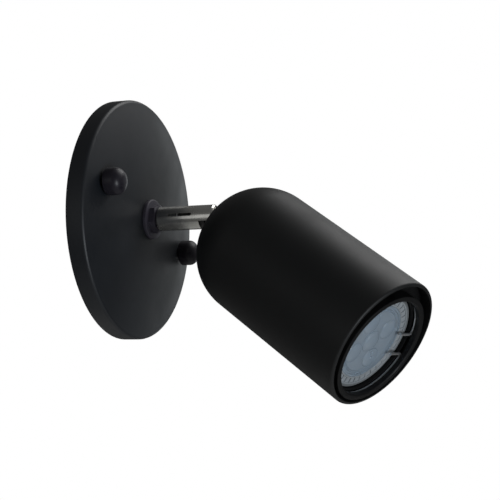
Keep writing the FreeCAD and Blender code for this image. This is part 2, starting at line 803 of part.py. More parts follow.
def head_shell():
    body = new_body("head_shell", head_frame())
    revolve(body, [
        ("shank_hole_radius", "shell_seat"),
        ("spot_radius", "shell_seat"),
        ("head_radius", "back_centre", "head_back_radius", LEFT),
        ("head_radius", "mouth - head_mouth_radius"),
        ("head_radius - head_mouth_radius", "mouth", "head_mouth_radius", LEFT),
        ("head_bore_radius", "mouth"),
        ("head_bore_radius", "back_centre"),
        ("boss_radius", "boss_face", "back_inner_radius", RIGHT),
        ("shank_hole_radius", "boss_face"),
    ])


def shell_washer():
    tube("shell_washer", head_frame(), "shank_hole_radius", "shell_washer_radius",
         "boss_face", "bracket_foot")


def shell_nut():
    hex_nut("shell_nut", head_frame(30.0), "shell_nut_flats", "shell_nut_thickness",
            "shank_hole_radius", "bracket_floor")


def holder_bracket():
    """Bent strip: clamped on the head's axis, its arms lean over to the lamp's axis."""
    body = new_body("holder_bracket", head_frame())
    corners = []
    for way in ("", "-"):
        side = [
            (way + "bracket_half_span", "bracket_foot"),
            (way + "bracket_half_span", "arm_bend"),
            (way + "bracket_half_span + sag_across", "tab_back"),
            (way + "bracket_tab_reach + sag_across", "tab_back"),
            (way + "bracket_tab_reach + sag_across", "holder_back"),
            (way + "bracket_inner_span + sag_across", "holder_back"),
            (way + "bracket_inner_span", "arm_bend"),
            (way + "bracket_inner_span", "bracket_floor"),
        ]
        corners += side if way == "" else side[::-1]
    pad(body, draw(new_sketch(body, "XZ_Plane"), corners), "bracket_width", both_ways=True)
    holes = draw_circle(new_sketch(body, "XY_Plane"), "shank_hole_radius")
    for way in ("", "-"):
        draw_circle(holes, "holder_screw_radius + thread_play",
                    way + "holder_screw_offset + sag_across", "sag_along")
    cut(body, holes, forward=True)
    earth_hole = new_sketch(body, "YZ_Plane")
    draw_circle(earth_hole, "earth_thread_radius + thread_play", "0", "earth_height")
    cut(body, earth_hole, forward=True)


def bracket_earth_screw():
    frame = head_frame()
    way = frame.Rotation.multiply(turn((0, 1, 0), 90))
    place = frame.multVec(FreeCAD.Vector(0, 0, value("earth_height")))
    body = new_body("bracket_earth_screw", FreeCAD.Placement(place, way))
    revolve(body, [
        ("0", "bracket_inner_span"),
        ("earth_thread_radius", "bracket_inner_span"),
        ("earth_thread_radius", "bracket_half_span"),
        ("earth_head_radius", "bracket_half_span"),
        ("earth_head_radius", "bracket_half_span + earth_head_height"),
        ("0", "bracket_half_span + earth_head_height"),
    ])


def lampholder():
    body = new_body("lampholder", carriage_frame())
    revolve(body, [
        ("0", "holder_back"),
        ("holder_radius - holder_edge_chamfer", "holder_back"),
        ("holder_radius", "holder_back + holder_edge_chamfer"),
        ("holder_radius", "lamp_base"),
        ("0", "lamp_base"),
    ])
    screw_ways = new_sketch(body, "XY_Plane")
    heads = new_sketch(body, "XY_Plane", "lamp_base")
    sockets = new_sketch(body, "XY_Plane", "lamp_base")
    lead_holes = new_sketch(body, "XY_Plane", "holder_back")
    for way in ("", "-"):
        draw_circle(screw_ways, "holder_screw_radius + holder_hole_play", way + "holder_screw_offset")
        draw_circle(heads, "holder_head_radius + holder_hole_play", way + "holder_screw_offset")
        draw_circle(sockets, "lamp_foot_radius + socket_play", "0", way + "lamp_pin_offset")
        draw_circle(lead_holes, "lead_radius + lead_hole_play",
                    "-sag_across", way + "lamp_pin_offset - sag_along")
    cut(body, screw_ways, forward=True)
    cut(body, heads, depth="holder_counterbore")
    cut(body, sockets, depth="lamp_pin_length + socket_play")
    cut(body, lead_holes, forward=True, depth="lead_entry_depth + lead_hole_play")


def holder_screws():
    body = new_body("holder_screws", carriage_frame())
    head_top = "screw_seat + holder_head_height"
    reach = "holder_screw_offset"
    screw = revolve(body, [
        (reach, "tab_back"),
        (reach + " + holder_screw_radius", "tab_back"),
        (reach + " + holder_screw_radius", "screw_seat"),
        (reach + " + holder_head_radius", "screw_seat"),
        (reach + " + holder_head_radius", head_top),
        (reach, head_top),
    ], reach)
    repeat(body, [screw], "2")


def lamp_leads():
    """Two insulated leads, spread from the knuckle's bore to the lampholder."""
    body = new_body("lamp_leads", head_frame())
    start = draw_circle(new_sketch(body, "XY_Plane", "bracket_floor"),
                        "lead_radius", "0", "lead_inner_offset")
    path = draw(new_sketch(body, "YZ_Plane"), [
        ("lead_inner_offset", "bracket_floor"),
        ("lead_inner_offset", "lead_turn"),
        ("lamp_pin_offset", "lead_top"),
        ("lamp_pin_offset", "lead_end"),
    ], closed=False)
    lead = body.newObject("PartDesign::AdditivePipe", "lead")
    lead.Profile = start
    lead.Spine = (path, ["Edge1", "Edge2", "Edge3"])
    lead.Transition = "Right corner"
    body.Tip = lead
    doc.recompute()
    repeat(body, [lead], "2")


def lamp_body():
    body = new_body("lamp_body", carriage_frame())
    revolve(body, [
        ("0", "lamp_base"),
        ("lamp_base_radius", "lamp_base"),
        ("lamp_throat_radius", "lamp_throat"),
        ("lamp_radius", "lamp_rim_back", "lamp_cone_bulge", LEFT),
        ("lamp_radius", "lens_face"),
        ("lamp_cup_radius", "lens_face"),
        ("lamp_cup_radius", "lamp_cup_floor"),
        ("0", "lamp_cup_floor"),
    ])


def lamp_pins():
    body = new_body("lamp_pins", carriage_frame(90.0))
    reach = "lamp_pin_offset"
    pin = revolve(body, [
        (reach, "pin_end"),
        (reach + " + lamp_foot_radius", "pin_end"),
        (reach + " + lamp_foot_radius", "pin_end + lamp_foot_height"),
        (reach + " + lamp_pin_radius", "pin_end + lamp_foot_height"),
        (reach + " + lamp_pin_radius", "lamp_base"),
        (reach, "lamp_base"),
    ], reach)
    repeat(body, [pin], "2")


def lamp_led_board():
    body = new_body("lamp_led_board", carriage_frame())
    revolve(body, [
        ("0", "lamp_cup_floor"),
        ("board_radius", "lamp_cup_floor"),
        ("board_radius", "board_top"),
        ("0", "board_top"),
    ])


def lamp_lens():
    body = new_body("lamp_lens", carriage_frame())
    revolve(body, [
        ("0", "lens_back"),
        ("lens_radius", "lens_back"),
        ("lens_radius", "lens_face"),
        ("0", "lens_face + lens_crown", "lens_bulge", LEFT),
    ])


def lamp_bezel():
    body = new_body("lamp_bezel", carriage_frame())
    revolve(body, [
        ("lens_radius - bezel_ledge", "board_top"),
        ("lamp_cup_radius - bezel_play", "board_top"),
        ("lamp_cup_radius - bezel_play", "lens_face"),
        ("lens_radius + bezel_play", "lens_face"),
        ("lens_radius + bezel_play", "lens_back"),
        ("lens_radius - bezel_ledge", "lens_back"),
    ])


def front_ring():
    """Ring in the mouth: the flange lies on the head's axis, the collar and bore on the lamp's."""
    body = new_body("front_ring", carriage_frame())
    flange = draw_circle(new_sketch(body, "XY_Plane", "ring_back"),
                         "ring_radius", "-sag_across", "-sag_along")
    pad(body, flange, "ring_step - ring_back")
    pad(body, draw_circle(new_sketch(body, "XY_Plane", "ring_step"), "collar_radius"), "front_ring_step")
    turned_cut(body, [
        ("0", "ring_back - 1"),
        ("ring_bore_radius", "ring_back - 1"),
        ("ring_bore_radius", "groove_back"),
        ("groove_radius", "groove_back"),
        ("groove_radius", "groove_front"),
        ("ring_bore_radius", "groove_front"),
        ("ring_bore_radius", "ring_face - front_ring_chamfer"),
        ("ring_bore_radius + front_ring_chamfer", "ring_face"),
        ("ring_bore_radius + front_ring_chamfer", "ring_face + 1"),
        ("0", "ring_face + 1"),
    ])


def retaining_ring():
    """Open ring of spring wire; its two ends bend inwards side by side."""
    body = new_body("retaining_ring", carriage_frame(value("clip_angle")))
    touch_across = "clip_touch * clip_bend_reach"
    touch_along = "clip_touch * (clip_end_half_gap + clip_end_bend_radius)"
    path = draw(new_sketch(body, "XY_Plane", "clip_height"), [
        ("clip_end_inner", "clip_end_half_gap"),
        ("clip_bend_reach", "clip_end_half_gap"),
        (touch_across, touch_along, "clip_end_bend_radius", LEFT),
        ("-clip_radius", "0", "clip_radius", LEFT),
        (touch_across, "-" + touch_along, "clip_radius", LEFT),
        ("clip_bend_reach", "-clip_end_half_gap", "clip_end_bend_radius", LEFT),
        ("clip_end_inner", "-clip_end_half_gap"),
    ], closed=False)
    start = new_sketch(body, "YZ_Plane", "clip_end_inner")
    draw_circle(start, "clip_wire_radius", "clip_end_half_gap", "clip_height")
    wire = body.newObject("PartDesign::AdditivePipe", "clip_wire")
    wire.Profile = start
    wire.Spine = (path, ["Edge%d" % i for i in range(1, 7)])
    body.Tip = wire


for build in (mounting_plate, canopy_studs, stud_nuts, ground_screw, canopy, cap_nuts, nipple,
              lock_washer, nipple_locknut, seating_washer, jam_nut,
              swivel_barrel, stop_screw, disc_spring, friction_sleeve, pivot_pins,
              knuckle, head_shell, shell_washer, shell_nut, holder_bracket, bracket_earth_screw,
              lampholder, holder_screws, lamp_leads, lamp_body, lamp_pins, lamp_led_board,
              lamp_lens, lamp_bezel, front_ring, retaining_ring):
    build()
doc.recompute()

for item in doc.Objects:
    if "Invalid" in item.State or "Error" in item.State:
        raise RuntimeError("%s did not recompute: %s" % (item.Name, item.State))
for part in parts:
    if part.Shape.isNull() or not part.Shape.isValid():
        raise RuntimeError(part.Label + " has no valid shape")

os.makedirs("parts", exist_ok=True)
for part in parts:
    part.Shape.exportStep(os.path.join("parts", part.Label + ".step"))
    print("%-20s solids %d volume %.1f" % (part.Label, len(part.Shape.Solids), part.Shape.Volume))
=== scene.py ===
import logging
import math
from dataclasses import dataclass, field
from enum import Enum
from typing import Optional, Sequence

import bmesh
import bpy
from mathutils import Matrix, Vector


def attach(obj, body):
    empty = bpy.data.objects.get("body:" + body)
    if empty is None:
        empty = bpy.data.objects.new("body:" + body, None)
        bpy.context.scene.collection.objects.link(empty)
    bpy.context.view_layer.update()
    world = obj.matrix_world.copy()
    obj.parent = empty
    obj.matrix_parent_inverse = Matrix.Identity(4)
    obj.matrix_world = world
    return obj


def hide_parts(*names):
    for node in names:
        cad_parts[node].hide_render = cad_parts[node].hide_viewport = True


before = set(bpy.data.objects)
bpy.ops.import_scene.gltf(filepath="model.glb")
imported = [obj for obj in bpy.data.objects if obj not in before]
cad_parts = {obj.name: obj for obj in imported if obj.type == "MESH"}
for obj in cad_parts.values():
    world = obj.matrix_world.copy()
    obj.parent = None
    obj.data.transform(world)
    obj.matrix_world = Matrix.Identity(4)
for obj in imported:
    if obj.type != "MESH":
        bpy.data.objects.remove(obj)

LOG = logging.getLogger("wall_spotlight")
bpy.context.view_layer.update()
MM = 0.001
IMAGE_SIDE = 500

Point = tuple[float, float]


def linear(hex_colour: str) -> tuple[float, float, float, float]:
    """Turn an sRGB hex colour into linear RGBA.

    Args:
        hex_colour: six hex digits after a hash.

    Returns:
        Linear red, green, blue and an alpha of one.
    """
    parts = [int(hex_colour[i:i + 2], 16) / 255.0 for i in (1, 3, 5)]
    low = [p / 12.92 if p <= 0.04045 else ((p + 0.055) / 1.055) ** 2.4 for p in parts]
    return (low[0], low[1], low[2], 1.0)


class Body(Enum):
    """The bodies that pieces ride on."""

    WALL = "wall_plate"
    SWIVEL = "swivel"
    HEAD = "head"


@dataclass(frozen=True)
class OwnFrame:
    """Where a piece's own axis lies: z runs out of the wall or along the head, in millimetres.

    Args:
        out: distance of the frame's origin from the wall, along the stem.
        turned: turn about the stem, in degrees.
        bent: bend away from the stem, in degrees.
        across: shift of the axis in the plane that the head bends in.
        along: shift of the axis square to that plane.
    """

    out: float = 0.0
    turned: float = 0.0
    bent: float = 0.0
    across: float = 0.0
    along: float = 0.0

    def matrix(self, spin: float = 0.0) -> Matrix:
        """Give the matrix from this frame, in millimetres, to the row frame, in metres.

        Args:
            spin: extra turn about the piece's own axis, in degrees.

        Returns:
            A four by four matrix.
        """
        place = Matrix.Translation((0.0, -self.out * MM, 0.0))
        for angle, axis in ((90.0, "X"), (self.turned, "Z"), (self.bent, "Y")):
            place = place @ Matrix.Rotation(math.radians(angle), 4, axis)
        place = place @ Matrix.Translation((self.across * MM, self.along * MM, 0.0))
        return place @ Matrix.Rotation(math.radians(spin), 4, "Z") @ Matrix.Scale(MM, 4)


WALL_FRAME = OwnFrame()
STUD_FRAME = OwnFrame(turned=-20.3)
SWIVEL_FRAME = OwnFrame(turned=-117.5)
HEAD_FRAME = OwnFrame(out=48.4, turned=-117.5, bent=36.95)
# The lamp, its holder and the collar round it hang a little below the head's own axis.
LAMP_FRAME = OwnFrame(out=48.4, turned=-117.5, bent=36.95, across=1.5, along=1.9)


# ---------------------------------------------------------------- finishes


class Pattern(Enum):
    """How a surface was made, as seen in its fine relief."""

    POWDER = "powder"      # baked powder, an even orange peel
    CAST = "cast"          # coarser sand-like skin
    TURNED = "turned"      # rings round the axis, left by a lathe or a spinning tool
    PLATED = "plated"      # soft zinc or nickel cloudiness
    MOULDED = "moulded"    # faint even texture of a mould
    THREAD = "thread"      # rolled thread, as rings one pitch apart


STRETCH: dict[Pattern, tuple[float, float, float]] = {
    Pattern.POWDER: (1.0, 1.0, 1.0),
    Pattern.CAST: (1.0, 1.0, 1.0),
    Pattern.TURNED: (0.04, 0.04, 1.0),
    Pattern.PLATED: (1.0, 1.0, 1.0),
    Pattern.MOULDED: (1.0, 1.0, 1.0),
    Pattern.THREAD: (0.0, 0.0, 1.0),
}


@dataclass(frozen=True)
class Finish:
    """One real material with the way its surface was made.

    Args:
        name: the material's name.
        slot: the record's material slot; not used.
        colour: sRGB hex of the surface.
        second: sRGB hex that cloudy patches drift towards.
        roughness: roughness between patches.
        pattern: the fine relief.
        grain: size of that relief, in millimetres.
        relief: its height, in millimetres.
        cloud: size of the cloudy patches, in millimetres.
        spread: how far the roughness drifts with the patches.
        metallic: one for bare metal.
        ior: index of refraction, left alone on metal.
        specular: specular level, with a half as the usual.
        anisotropy: stretch of the gloss on brushed metal.
        transmission: share of light that goes through.
    """

    name: str
    slot: str
    colour: str
    second: str
    roughness: float
    pattern: Pattern
    grain: float
    relief: float
    cloud: float = 12.0
    spread: float = 0.06
    metallic: float = 0.0
    ior: float = 1.5
    specular: float = 0.5
    anisotropy: float = 0.0
    transmission: float = 0.0


# Powder coat on pressed steel: baked polyester powder, satin, with a faint orange peel.
CANOPY_COAT = Finish("satin black powder coat", "black_powder_coat", "#171a1f", "#1e2227",
                     0.46, Pattern.POWDER, 0.9, 0.006, cloud=26.0, spread=0.07)
# Powder coat on the spun aluminium head: the same powder, baked flatter, almost matte.
HEAD_COAT = Finish("matte black powder coat", "black_head_coat", "#0e0f10", "#131515",
                   0.52, Pattern.POWDER, 0.8, 0.006, cloud=30.0, spread=0.05)
# Black oxide on turned steel: dark with a breath of violet, oily gloss.
BLACK_OXIDE = Finish("black oxide steel", "black_oxide_steel", "#1d1b22", "#26232c",
                     0.42, Pattern.TURNED, 0.25, 0.002, cloud=5.0, spread=0.08, specular=0.35)
# The washer and the collar nut: the cap nuts' black oxide, painted paler as painted light, so that they read
# in the stem's shade.
SHADE_LIFTED_OXIDE = Finish("thin black oxide steel", "black_oxide_steel", "#45424d", "#4f4c58",
                    0.5, Pattern.TURNED, 0.25, 0.002, cloud=5.0, spread=0.08, specular=0.4)
# Plate on turned brass with faint lathe rings. The colour is far paler than real black nickel: it makes
# up for a studio whose sky lights the part only dimly.
BLACK_NICKEL = Finish("black nickel plate", "black_nickel", "#dcdcd8", "#e4e2dc",
                      0.24, Pattern.TURNED, 0.22, 0.0012, cloud=8.0, spread=0.06,
                      metallic=1.0, anisotropy=0.3)
# Bright zinc on pressed steel: pale grey, cloudy.
ZINC_PLATE = Finish("zinc plated steel", "zinc_plated_steel", "#b4b6b4", "#9da1a3",
                    0.34, Pattern.PLATED, 0.8, 0.002, cloud=6.0, spread=0.12, metallic=1.0)
# Rolled thread on zinc plated steel, painted darker than the plate as painted shade, so that the barrel's
# slit reads dark.
ZINC_THREAD = Finish("zinc plated thread", "zinc_plated_steel", "#7d7f7e", "#6c6f71",
                     0.36, Pattern.THREAD, 0.9, 0.12, cloud=6.0, spread=0.1, metallic=1.0)
# Stainless spring wire: pale and half glossy, softly cloudy.
SPRING_WIRE = Finish("stainless spring wire", "spring_steel", "#e6e7e7", "#d6d8da",
                     0.45, Pattern.PLATED, 0.3, 0.0012, cloud=4.0, spread=0.08, metallic=1.0)
# Turned acetal, waxy, painted near black as painted shade, so that the barrel's slit reads dark.
ACETAL = Finish("turned black acetal", "acetal", "#1c1c1d", "#242425",
                0.42, Pattern.TURNED, 0.3, 0.003, cloud=6.0, ior=1.48)
# Die-cast ring with a coarse black coat in the mouth.
MOUTH_RING = Finish("cast black ring", "black_mouth_ring", "#070708", "#0d0e0e",
                    0.55, Pattern.CAST, 0.55, 0.03, cloud=7.0, spread=0.12, specular=0.3)
# Steatite, pressed and fired: chalky cream.
STEATITE = Finish("fired steatite", "steatite", "#e2dccf", "#d5cdbd",
                  0.55, Pattern.CAST, 0.35, 0.01, cloud=9.0, ior=1.55)
# Silicone lead insulation, extruded.
LEAD_SKIN = Finish("silicone insulation", "lead_insulation", "#2c2c2d", "#353536",
                   0.5, Pattern.MOULDED, 0.4, 0.004, cloud=5.0, ior=1.43)
# Moulded heat-conducting plastic of the lamp's housing.
LAMP_PLASTIC = Finish("moulded lamp plastic", "lamp_housing", "#8f9394", "#7d8183",
                      0.4, Pattern.MOULDED, 0.5, 0.004, cloud=9.0, ior=1.53)
# Injection-moulded polycarbonate lens: clear with a cool cast, softly frosted.
LENS_CLEAR = Finish("clear polycarbonate", "lens_polycarbonate", "#dbe9f5", "#c8dcec",
                    0.2, Pattern.MOULDED, 0.7, 0.004, cloud=8.0, spread=0.08, ior=1.586,
                    transmission=0.55)
# The bezel round the lens, moulded in grey-white polycarbonate.
BEZEL_PLASTIC = Finish("moulded bezel", "bezel_plastic", "#b6bbbe", "#a3a9ad",
                       0.34, Pattern.MOULDED, 0.5, 0.005, cloud=6.0, ior=1.58)
# Vacuum-metallised cups round the light sources.
CUP_METAL = Finish("metallised cups", "bezel_plastic", "#c9d2da", "#b3bfca",
                   0.18, Pattern.MOULDED, 0.5, 0.002, cloud=5.0, metallic=1.0)
# White solder mask on the lamp's board.
BOARD_MASK = Finish("white solder mask", "led_board", "#c9cdcc", "#b9bfc0",
                    0.45, Pattern.MOULDED, 0.5, 0.003, cloud=6.0)
# Phosphor in silicone over the light sources, unlit: yellow.
PHOSPHOR = Finish("phosphor silicone", "led_board", "#d8b74a", "#c9a63c",
                  0.35, Pattern.MOULDED, 0.3, 0.003, cloud=2.0, ior=1.41)
# Nickel plated lamp pins.
PIN_NICKEL = Finish("nickel plated pins", "nickel_pins", "#c2bcaa", "#aea892",
                    0.28, Pattern.TURNED, 0.2, 0.002, cloud=3.0, metallic=1.0)
# Green-painted earth screws.
EARTH_GREEN = Finish("green earth screw", "green_earth_steel", "#2f6a3d", "#285c35",
                     0.4, Pattern.MOULDED, 0.4, 0.003, cloud=3.0)


def add_node(tree: bpy.types.NodeTree, kind: str, settings: Optional[dict] = None,
             links: Optional[dict] = None) -> bpy.types.Node:
    """Add a node with its settings and links.

    Args:
        tree: the node tree.
        kind: the node's type.
        settings: values by attribute name, or by input name or number after "in:".
        links: output sockets by input name or number.

    Returns:
        The new node.
    """
    node = tree.nodes.new(kind)
    for key, setting in (settings or {}).items():
        if key.startswith("in:"):
            place = key[3:]
            node.inputs[int(place) if place.isdigit() else place].default_value = setting
        else:
            setattr(node, key, setting)
    for place, socket in (links or {}).items():
        tree.links.new(socket, node.inputs[place])
    return node


@dataclass
class Paint:
    """Makes and keeps one Blender material for each finish and frame."""

    made: dict[tuple[str, OwnFrame], bpy.types.Material] = field(default_factory=dict)

    def of(self, finish: Finish, own: OwnFrame) -> bpy.types.Material:
        """Give the material of a finish on a piece that lies in the frame own."""
        key = (finish.name, own)
        if key not in self.made:
            self.made[key] = self.build(finish, own)
        return self.made[key]

    def build(self, finish: Finish, own: OwnFrame) -> bpy.types.Material:
        """Build the shader of a finish.

        Args:
            finish: the finish.
            own: the frame whose z axis the pattern follows.

        Returns:
            The material.
        """
        material = bpy.data.materials.new("%s %d" % (finish.name, len(self.made)))
        material.use_nodes = True
        tree = material.node_tree
        tree.nodes.clear()
        shader = add_node(tree, "ShaderNodeBsdfPrincipled", {
            "in:Metallic": finish.metallic,
            "in:Anisotropic": finish.anisotropy,
            "in:Transmission Weight": finish.transmission,
            "in:Specular IOR Level": finish.specular,
        })
        if finish.metallic < 0.5:
            shader.inputs["IOR"].default_value = finish.ior
        place = self.own_millimetres(tree, own)
        cloud = add_node(tree, "ShaderNodeTexNoise", {
            "in:Scale": 1.0 / finish.cloud, "in:Detail": 3.0, "in:Roughness": 0.55,
        }, {"Vector": place})
        mixed = add_node(tree, "ShaderNodeMix", {"data_type": "RGBA"}, {0: cloud.outputs["Fac"]})
        mixed.inputs[6].default_value = linear(finish.colour)
        mixed.inputs[7].default_value = linear(finish.second)
        tree.links.new(mixed.outputs[2], shader.inputs["Base Color"])
        rough = add_node(tree, "ShaderNodeMapRange", {
            "in:From Min": 0.3, "in:From Max": 0.7,
            "in:To Min": finish.roughness - finish.spread, "in:To Max": finish.roughness + finish.spread,
        }, {"Value": cloud.outputs["Fac"]})
        tree.links.new(rough.outputs[0], shader.inputs["Roughness"])
        bump = add_node(tree, "ShaderNodeBump", {"in:Strength": 0.6, "in:Distance": finish.relief * MM},
                        {"Height": self.relief(tree, finish, place)})
        tree.links.new(bump.outputs[0], shader.inputs["Normal"])
        add_node(tree, "ShaderNodeOutputMaterial", links={"Surface": shader.outputs[0]})
        return material

    @staticmethod
    def own_millimetres(tree: bpy.types.NodeTree, own: OwnFrame) -> bpy.types.NodeSocket:
        """Give the surface's place in the frame own, in millimetres, as a socket."""
        inverse = own.matrix().inverted()
        away = inverse.translation
        turned = inverse.to_3x3().normalized().to_euler("XYZ")
        where = add_node(tree, "ShaderNodeTexCoord")
        mapping = add_node(tree, "ShaderNodeMapping", {
            "in:Location": away, "in:Rotation": turned, "in:Scale": (1.0 / MM,) * 3,
        }, {"Vector": where.outputs["Object"]})
        return mapping.outputs[0]

    @staticmethod
    def relief(tree: bpy.types.NodeTree, finish: Finish,
               place: bpy.types.NodeSocket) -> bpy.types.NodeSocket:
        """Give the height of the fine relief as a socket.

        Args:
            tree: the node tree.
            finish: the finish.
            place: the surface's place, in millimetres.

        Returns:
            The height, from nought to one.
        """
        stretched = add_node(tree, "ShaderNodeVectorMath", {"operation": "MULTIPLY"}, {0: place})
        stretched.inputs[1].default_value = STRETCH[finish.pattern]
        if finish.pattern is Pattern.THREAD:
            wave = add_node(tree, "ShaderNodeTexWave", {
                "bands_direction": "Z", "wave_profile": "TRI", "in:Scale": 0.314 / finish.grain,
            }, {"Vector": stretched.outputs[0]})
            return wave.outputs["Fac"]
        detail = 5.0 if finish.pattern is Pattern.CAST else 2.0
        noise = add_node(tree, "ShaderNodeTexNoise", {
            "in:Scale": 1.0 / finish.grain, "in:Detail": detail, "in:Roughness": 0.6,
        }, {"Vector": stretched.outputs[0]})
        return noise.outputs["Fac"]


PAINT = Paint()


# ---------------------------------------------------------------- meshes


def arc(centre: Point, radius: float, start: float, end: float, steps: int) -> list[Point]:
    """Points on an arc of an outline, both ends included.

    Args:
        centre: centre as (distance from the axis, height).
        radius: radius.
        start: first angle in degrees, from the outward direction towards up.
        end: last angle in degrees.
        steps: number of chords.

    Returns:
        Points as (distance from the axis, height).
    """
    points = []
    for i in range(steps + 1):
        angle = math.radians(start + (end - start) * i / steps)
        points.append((centre[0] + radius * math.cos(angle), centre[1] + radius * math.sin(angle)))
    return points


def circle(centre: Point, radius: float, count: int) -> list[Point]:
    """Points of a closed circle, none of them twice."""
    return arc(centre, radius, 0.0, 360.0 * (count - 1) / count, count - 1)


def quarter_dome(centre: Point, out: float, up: float, steps: int) -> list[Point]:
    """A quarter of an ellipse, from its outermost point to its top.

    Args:
        centre: centre as (distance from the axis, height).
        out: half axis away from the axis.
        up: half axis along the height.
        steps: number of chords.

    Returns:
        Points as (distance from the axis, height).
    """
    turns = [math.pi / 2.0 * i / steps for i in range(steps + 1)]
    return [(centre[0] + out * math.cos(turn), centre[1] + up * math.sin(turn)) for turn in turns]


def rounded(corners: Sequence[tuple[float, ...]], steps: int = 5) -> list[Point]:
    """Round the corners of a closed outline that state a radius.

    Args:
        corners: (distance from the axis, height) or (distance, height, radius).
        steps: chords in each rounding.

    Returns:
        The outline's points.
    """
    points: list[Point] = []
    count = len(corners)
    for i, corner in enumerate(corners):
        here = Vector(corner[:2])
        radius = corner[2] if len(corner) > 2 else 0.0
        back = Vector(corners[i - 1][:2]) - here
        ahead = Vector(corners[(i + 1) % count][:2]) - here
        if radius <= 0.0 or back.length < 1e-6 or ahead.length < 1e-6:
            points.append((here.x, here.y))
            continue
        back.normalize()
        ahead.normalize()
        half = back.angle(ahead) / 2.0
        reach = radius / math.tan(half)
        centre = here + (back + ahead).normalized() * (radius / math.sin(half))
        first = here + back * reach - centre
        last = here + ahead * reach - centre
        turn = first.angle_signed(last)
        for k in range(steps + 1):
            swing = -turn * k / steps
            points.append((centre.x + first.x * math.cos(swing) - first.y * math.sin(swing),
                           centre.y + first.x * math.sin(swing) + first.y * math.cos(swing)))
    return points


def finished_mesh(name: str, mesh: bpy.types.Mesh, place: Matrix, crease: float = 32.0) -> bpy.types.Mesh:
    """Weld a mesh, turn its faces outwards, move it into the row frame and smooth it.

    Args:
        name: the mesh's name.
        mesh: the mesh, in its own frame.
        place: the matrix to the row frame.
        crease: angle past which an edge stays sharp, in degrees.

    Returns:
        The same mesh.
    """
    mesh.transform(place)
    work = bmesh.new()
    work.from_mesh(mesh)
    bmesh.ops.remove_doubles(work, verts=work.verts, dist=1e-7)
    bmesh.ops.recalc_face_normals(work, faces=work.faces)
    work.to_mesh(mesh)
    work.free()
    mesh.name = name
    mesh.shade_smooth()
    mesh.set_sharp_from_angle(angle=math.radians(crease))
    return mesh


def turned_shape(outline: Sequence[Point], steps: int) -> bpy.types.Mesh:
    """Turn a closed outline about the z axis into a closed mesh.

    Args:
        outline: points as (distance from the axis, height).
        steps: number of steps round the axis.

    Returns:
        The mesh, in millimetres.
    """
    verts: list[tuple[float, float, float]] = []
    rings: list[list[int]] = []
    for out, up in outline:
        if abs(out) < 1e-6:
            rings.append([len(verts)] * steps)
            verts.append((0.0, 0.0, up))
            continue
        rings.append(list(range(len(verts), len(verts) + steps)))
        for k in range(steps):
            angle = 2.0 * math.pi * k / steps
            verts.append((out * math.cos(angle), out * math.sin(angle), up))
    faces: list[tuple[int, ...]] = []
    for i, ring in enumerate(rings):
        before = rings[i - 1]
        for k in range(steps):
            after = (k + 1) % steps
            quad = (before[k], before[after], ring[after], ring[k])
            face = tuple(dict.fromkeys(quad))
            if len(face) > 2:
                faces.append(face)
    mesh = bpy.data.meshes.new("turned")
    mesh.from_pydata(verts, [], faces)
    mesh.validate()
    return mesh


def prism(corners: Sequence[Point], low: float, high: float) -> bpy.types.Mesh:
    """A closed prism between two heights over a flat outline.

    Args:
        corners: the outline in the xy plane.
        low: lower height.
        high: upper height.

    Returns:
        The mesh, in millimetres.
    """
    count = len(corners)
    verts = [(x, y, z) for z in (low, high) for x, y in corners]
    faces: list[tuple[int, ...]] = [tuple(range(count)), tuple(range(2 * count - 1, count - 1, -1))]
    faces += [(i, (i + 1) % count, count + (i + 1) % count, count + i) for i in range(count)]
    mesh = bpy.data.meshes.new("prism")
    mesh.from_pydata(verts, [], faces)
    work = bmesh.new()
    work.from_mesh(mesh)
    bmesh.ops.recalc_face_normals(work, faces=work.faces)
    work.to_mesh(mesh)
    work.free()
    return mesh


def scene_object(name: str, mesh: bpy.types.Mesh) -> bpy.types.Object:
    """Put a mesh into the scene as an object at the origin."""
    thing = bpy.data.objects.new(name, mesh)
    bpy.context.scene.collection.objects.link(thing)
    return thing


def solid_of(thing: bpy.types.Object) -> bpy.types.Mesh:
    """Give the object's mesh with its modifiers worked in, and remove the object."""
    graph = bpy.context.evaluated_depsgraph_get()
    mesh = bpy.data.meshes.new_from_object(thing.evaluated_get(graph))
    bpy.data.objects.remove(thing)
    return mesh


def carved(shape: bpy.types.Mesh, cutters: Sequence[bpy.types.Mesh]) -> bpy.types.Mesh:
    """Cut meshes out of a mesh.

    Args:
        shape: the mesh to cut.
        cutters: closed meshes to take away.

    Returns:
        The cut mesh.
    """
    thing = scene_object("carved", shape)
    tools = []
    for cutter in cutters:
        tool = scene_object("cutter", cutter)
        tools.append(tool)
        cut = thing.modifiers.new("cut", "BOOLEAN")
        cut.operation = "DIFFERENCE"
        cut.solver = "EXACT"
        cut.object = tool
    mesh = solid_of(thing)
    for tool in tools:
        bpy.data.objects.remove(tool)
    return mesh


def joined(meshes: Sequence[bpy.types.Mesh]) -> bpy.types.Mesh:
    """Give one mesh that holds all the meshes, which lie in the same frame."""
    work = bmesh.new()
    for mesh in meshes:
        work.from_mesh(mesh)
    whole = bpy.data.meshes.new("joined")
    work.to_mesh(whole)
    work.free()
    return whole


def dress(name: str, mesh: bpy.types.Mesh, finish: Finish, own: OwnFrame, body: Body,
          stands_for: Sequence[str] = ()) -> bpy.types.Object:
    """Make a finished mesh a piece of the object.

    Args:
        name: the piece's name.
        mesh: its mesh, in the row frame.
        finish: its finish.
        own: the frame that its pattern follows.
        body: the body that it rides on.
        stands_for: the CAD nodes that it replaces.

    Returns:
        The piece.
    """
    piece = scene_object(name, mesh)
    mesh.materials.clear()
    mesh.materials.append(PAINT.of(finish, own))
    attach(piece, body.value)
    if stands_for:
        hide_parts(*stands_for)
    LOG.info("%s: %d faces", name, len(mesh.polygons))
    return piece


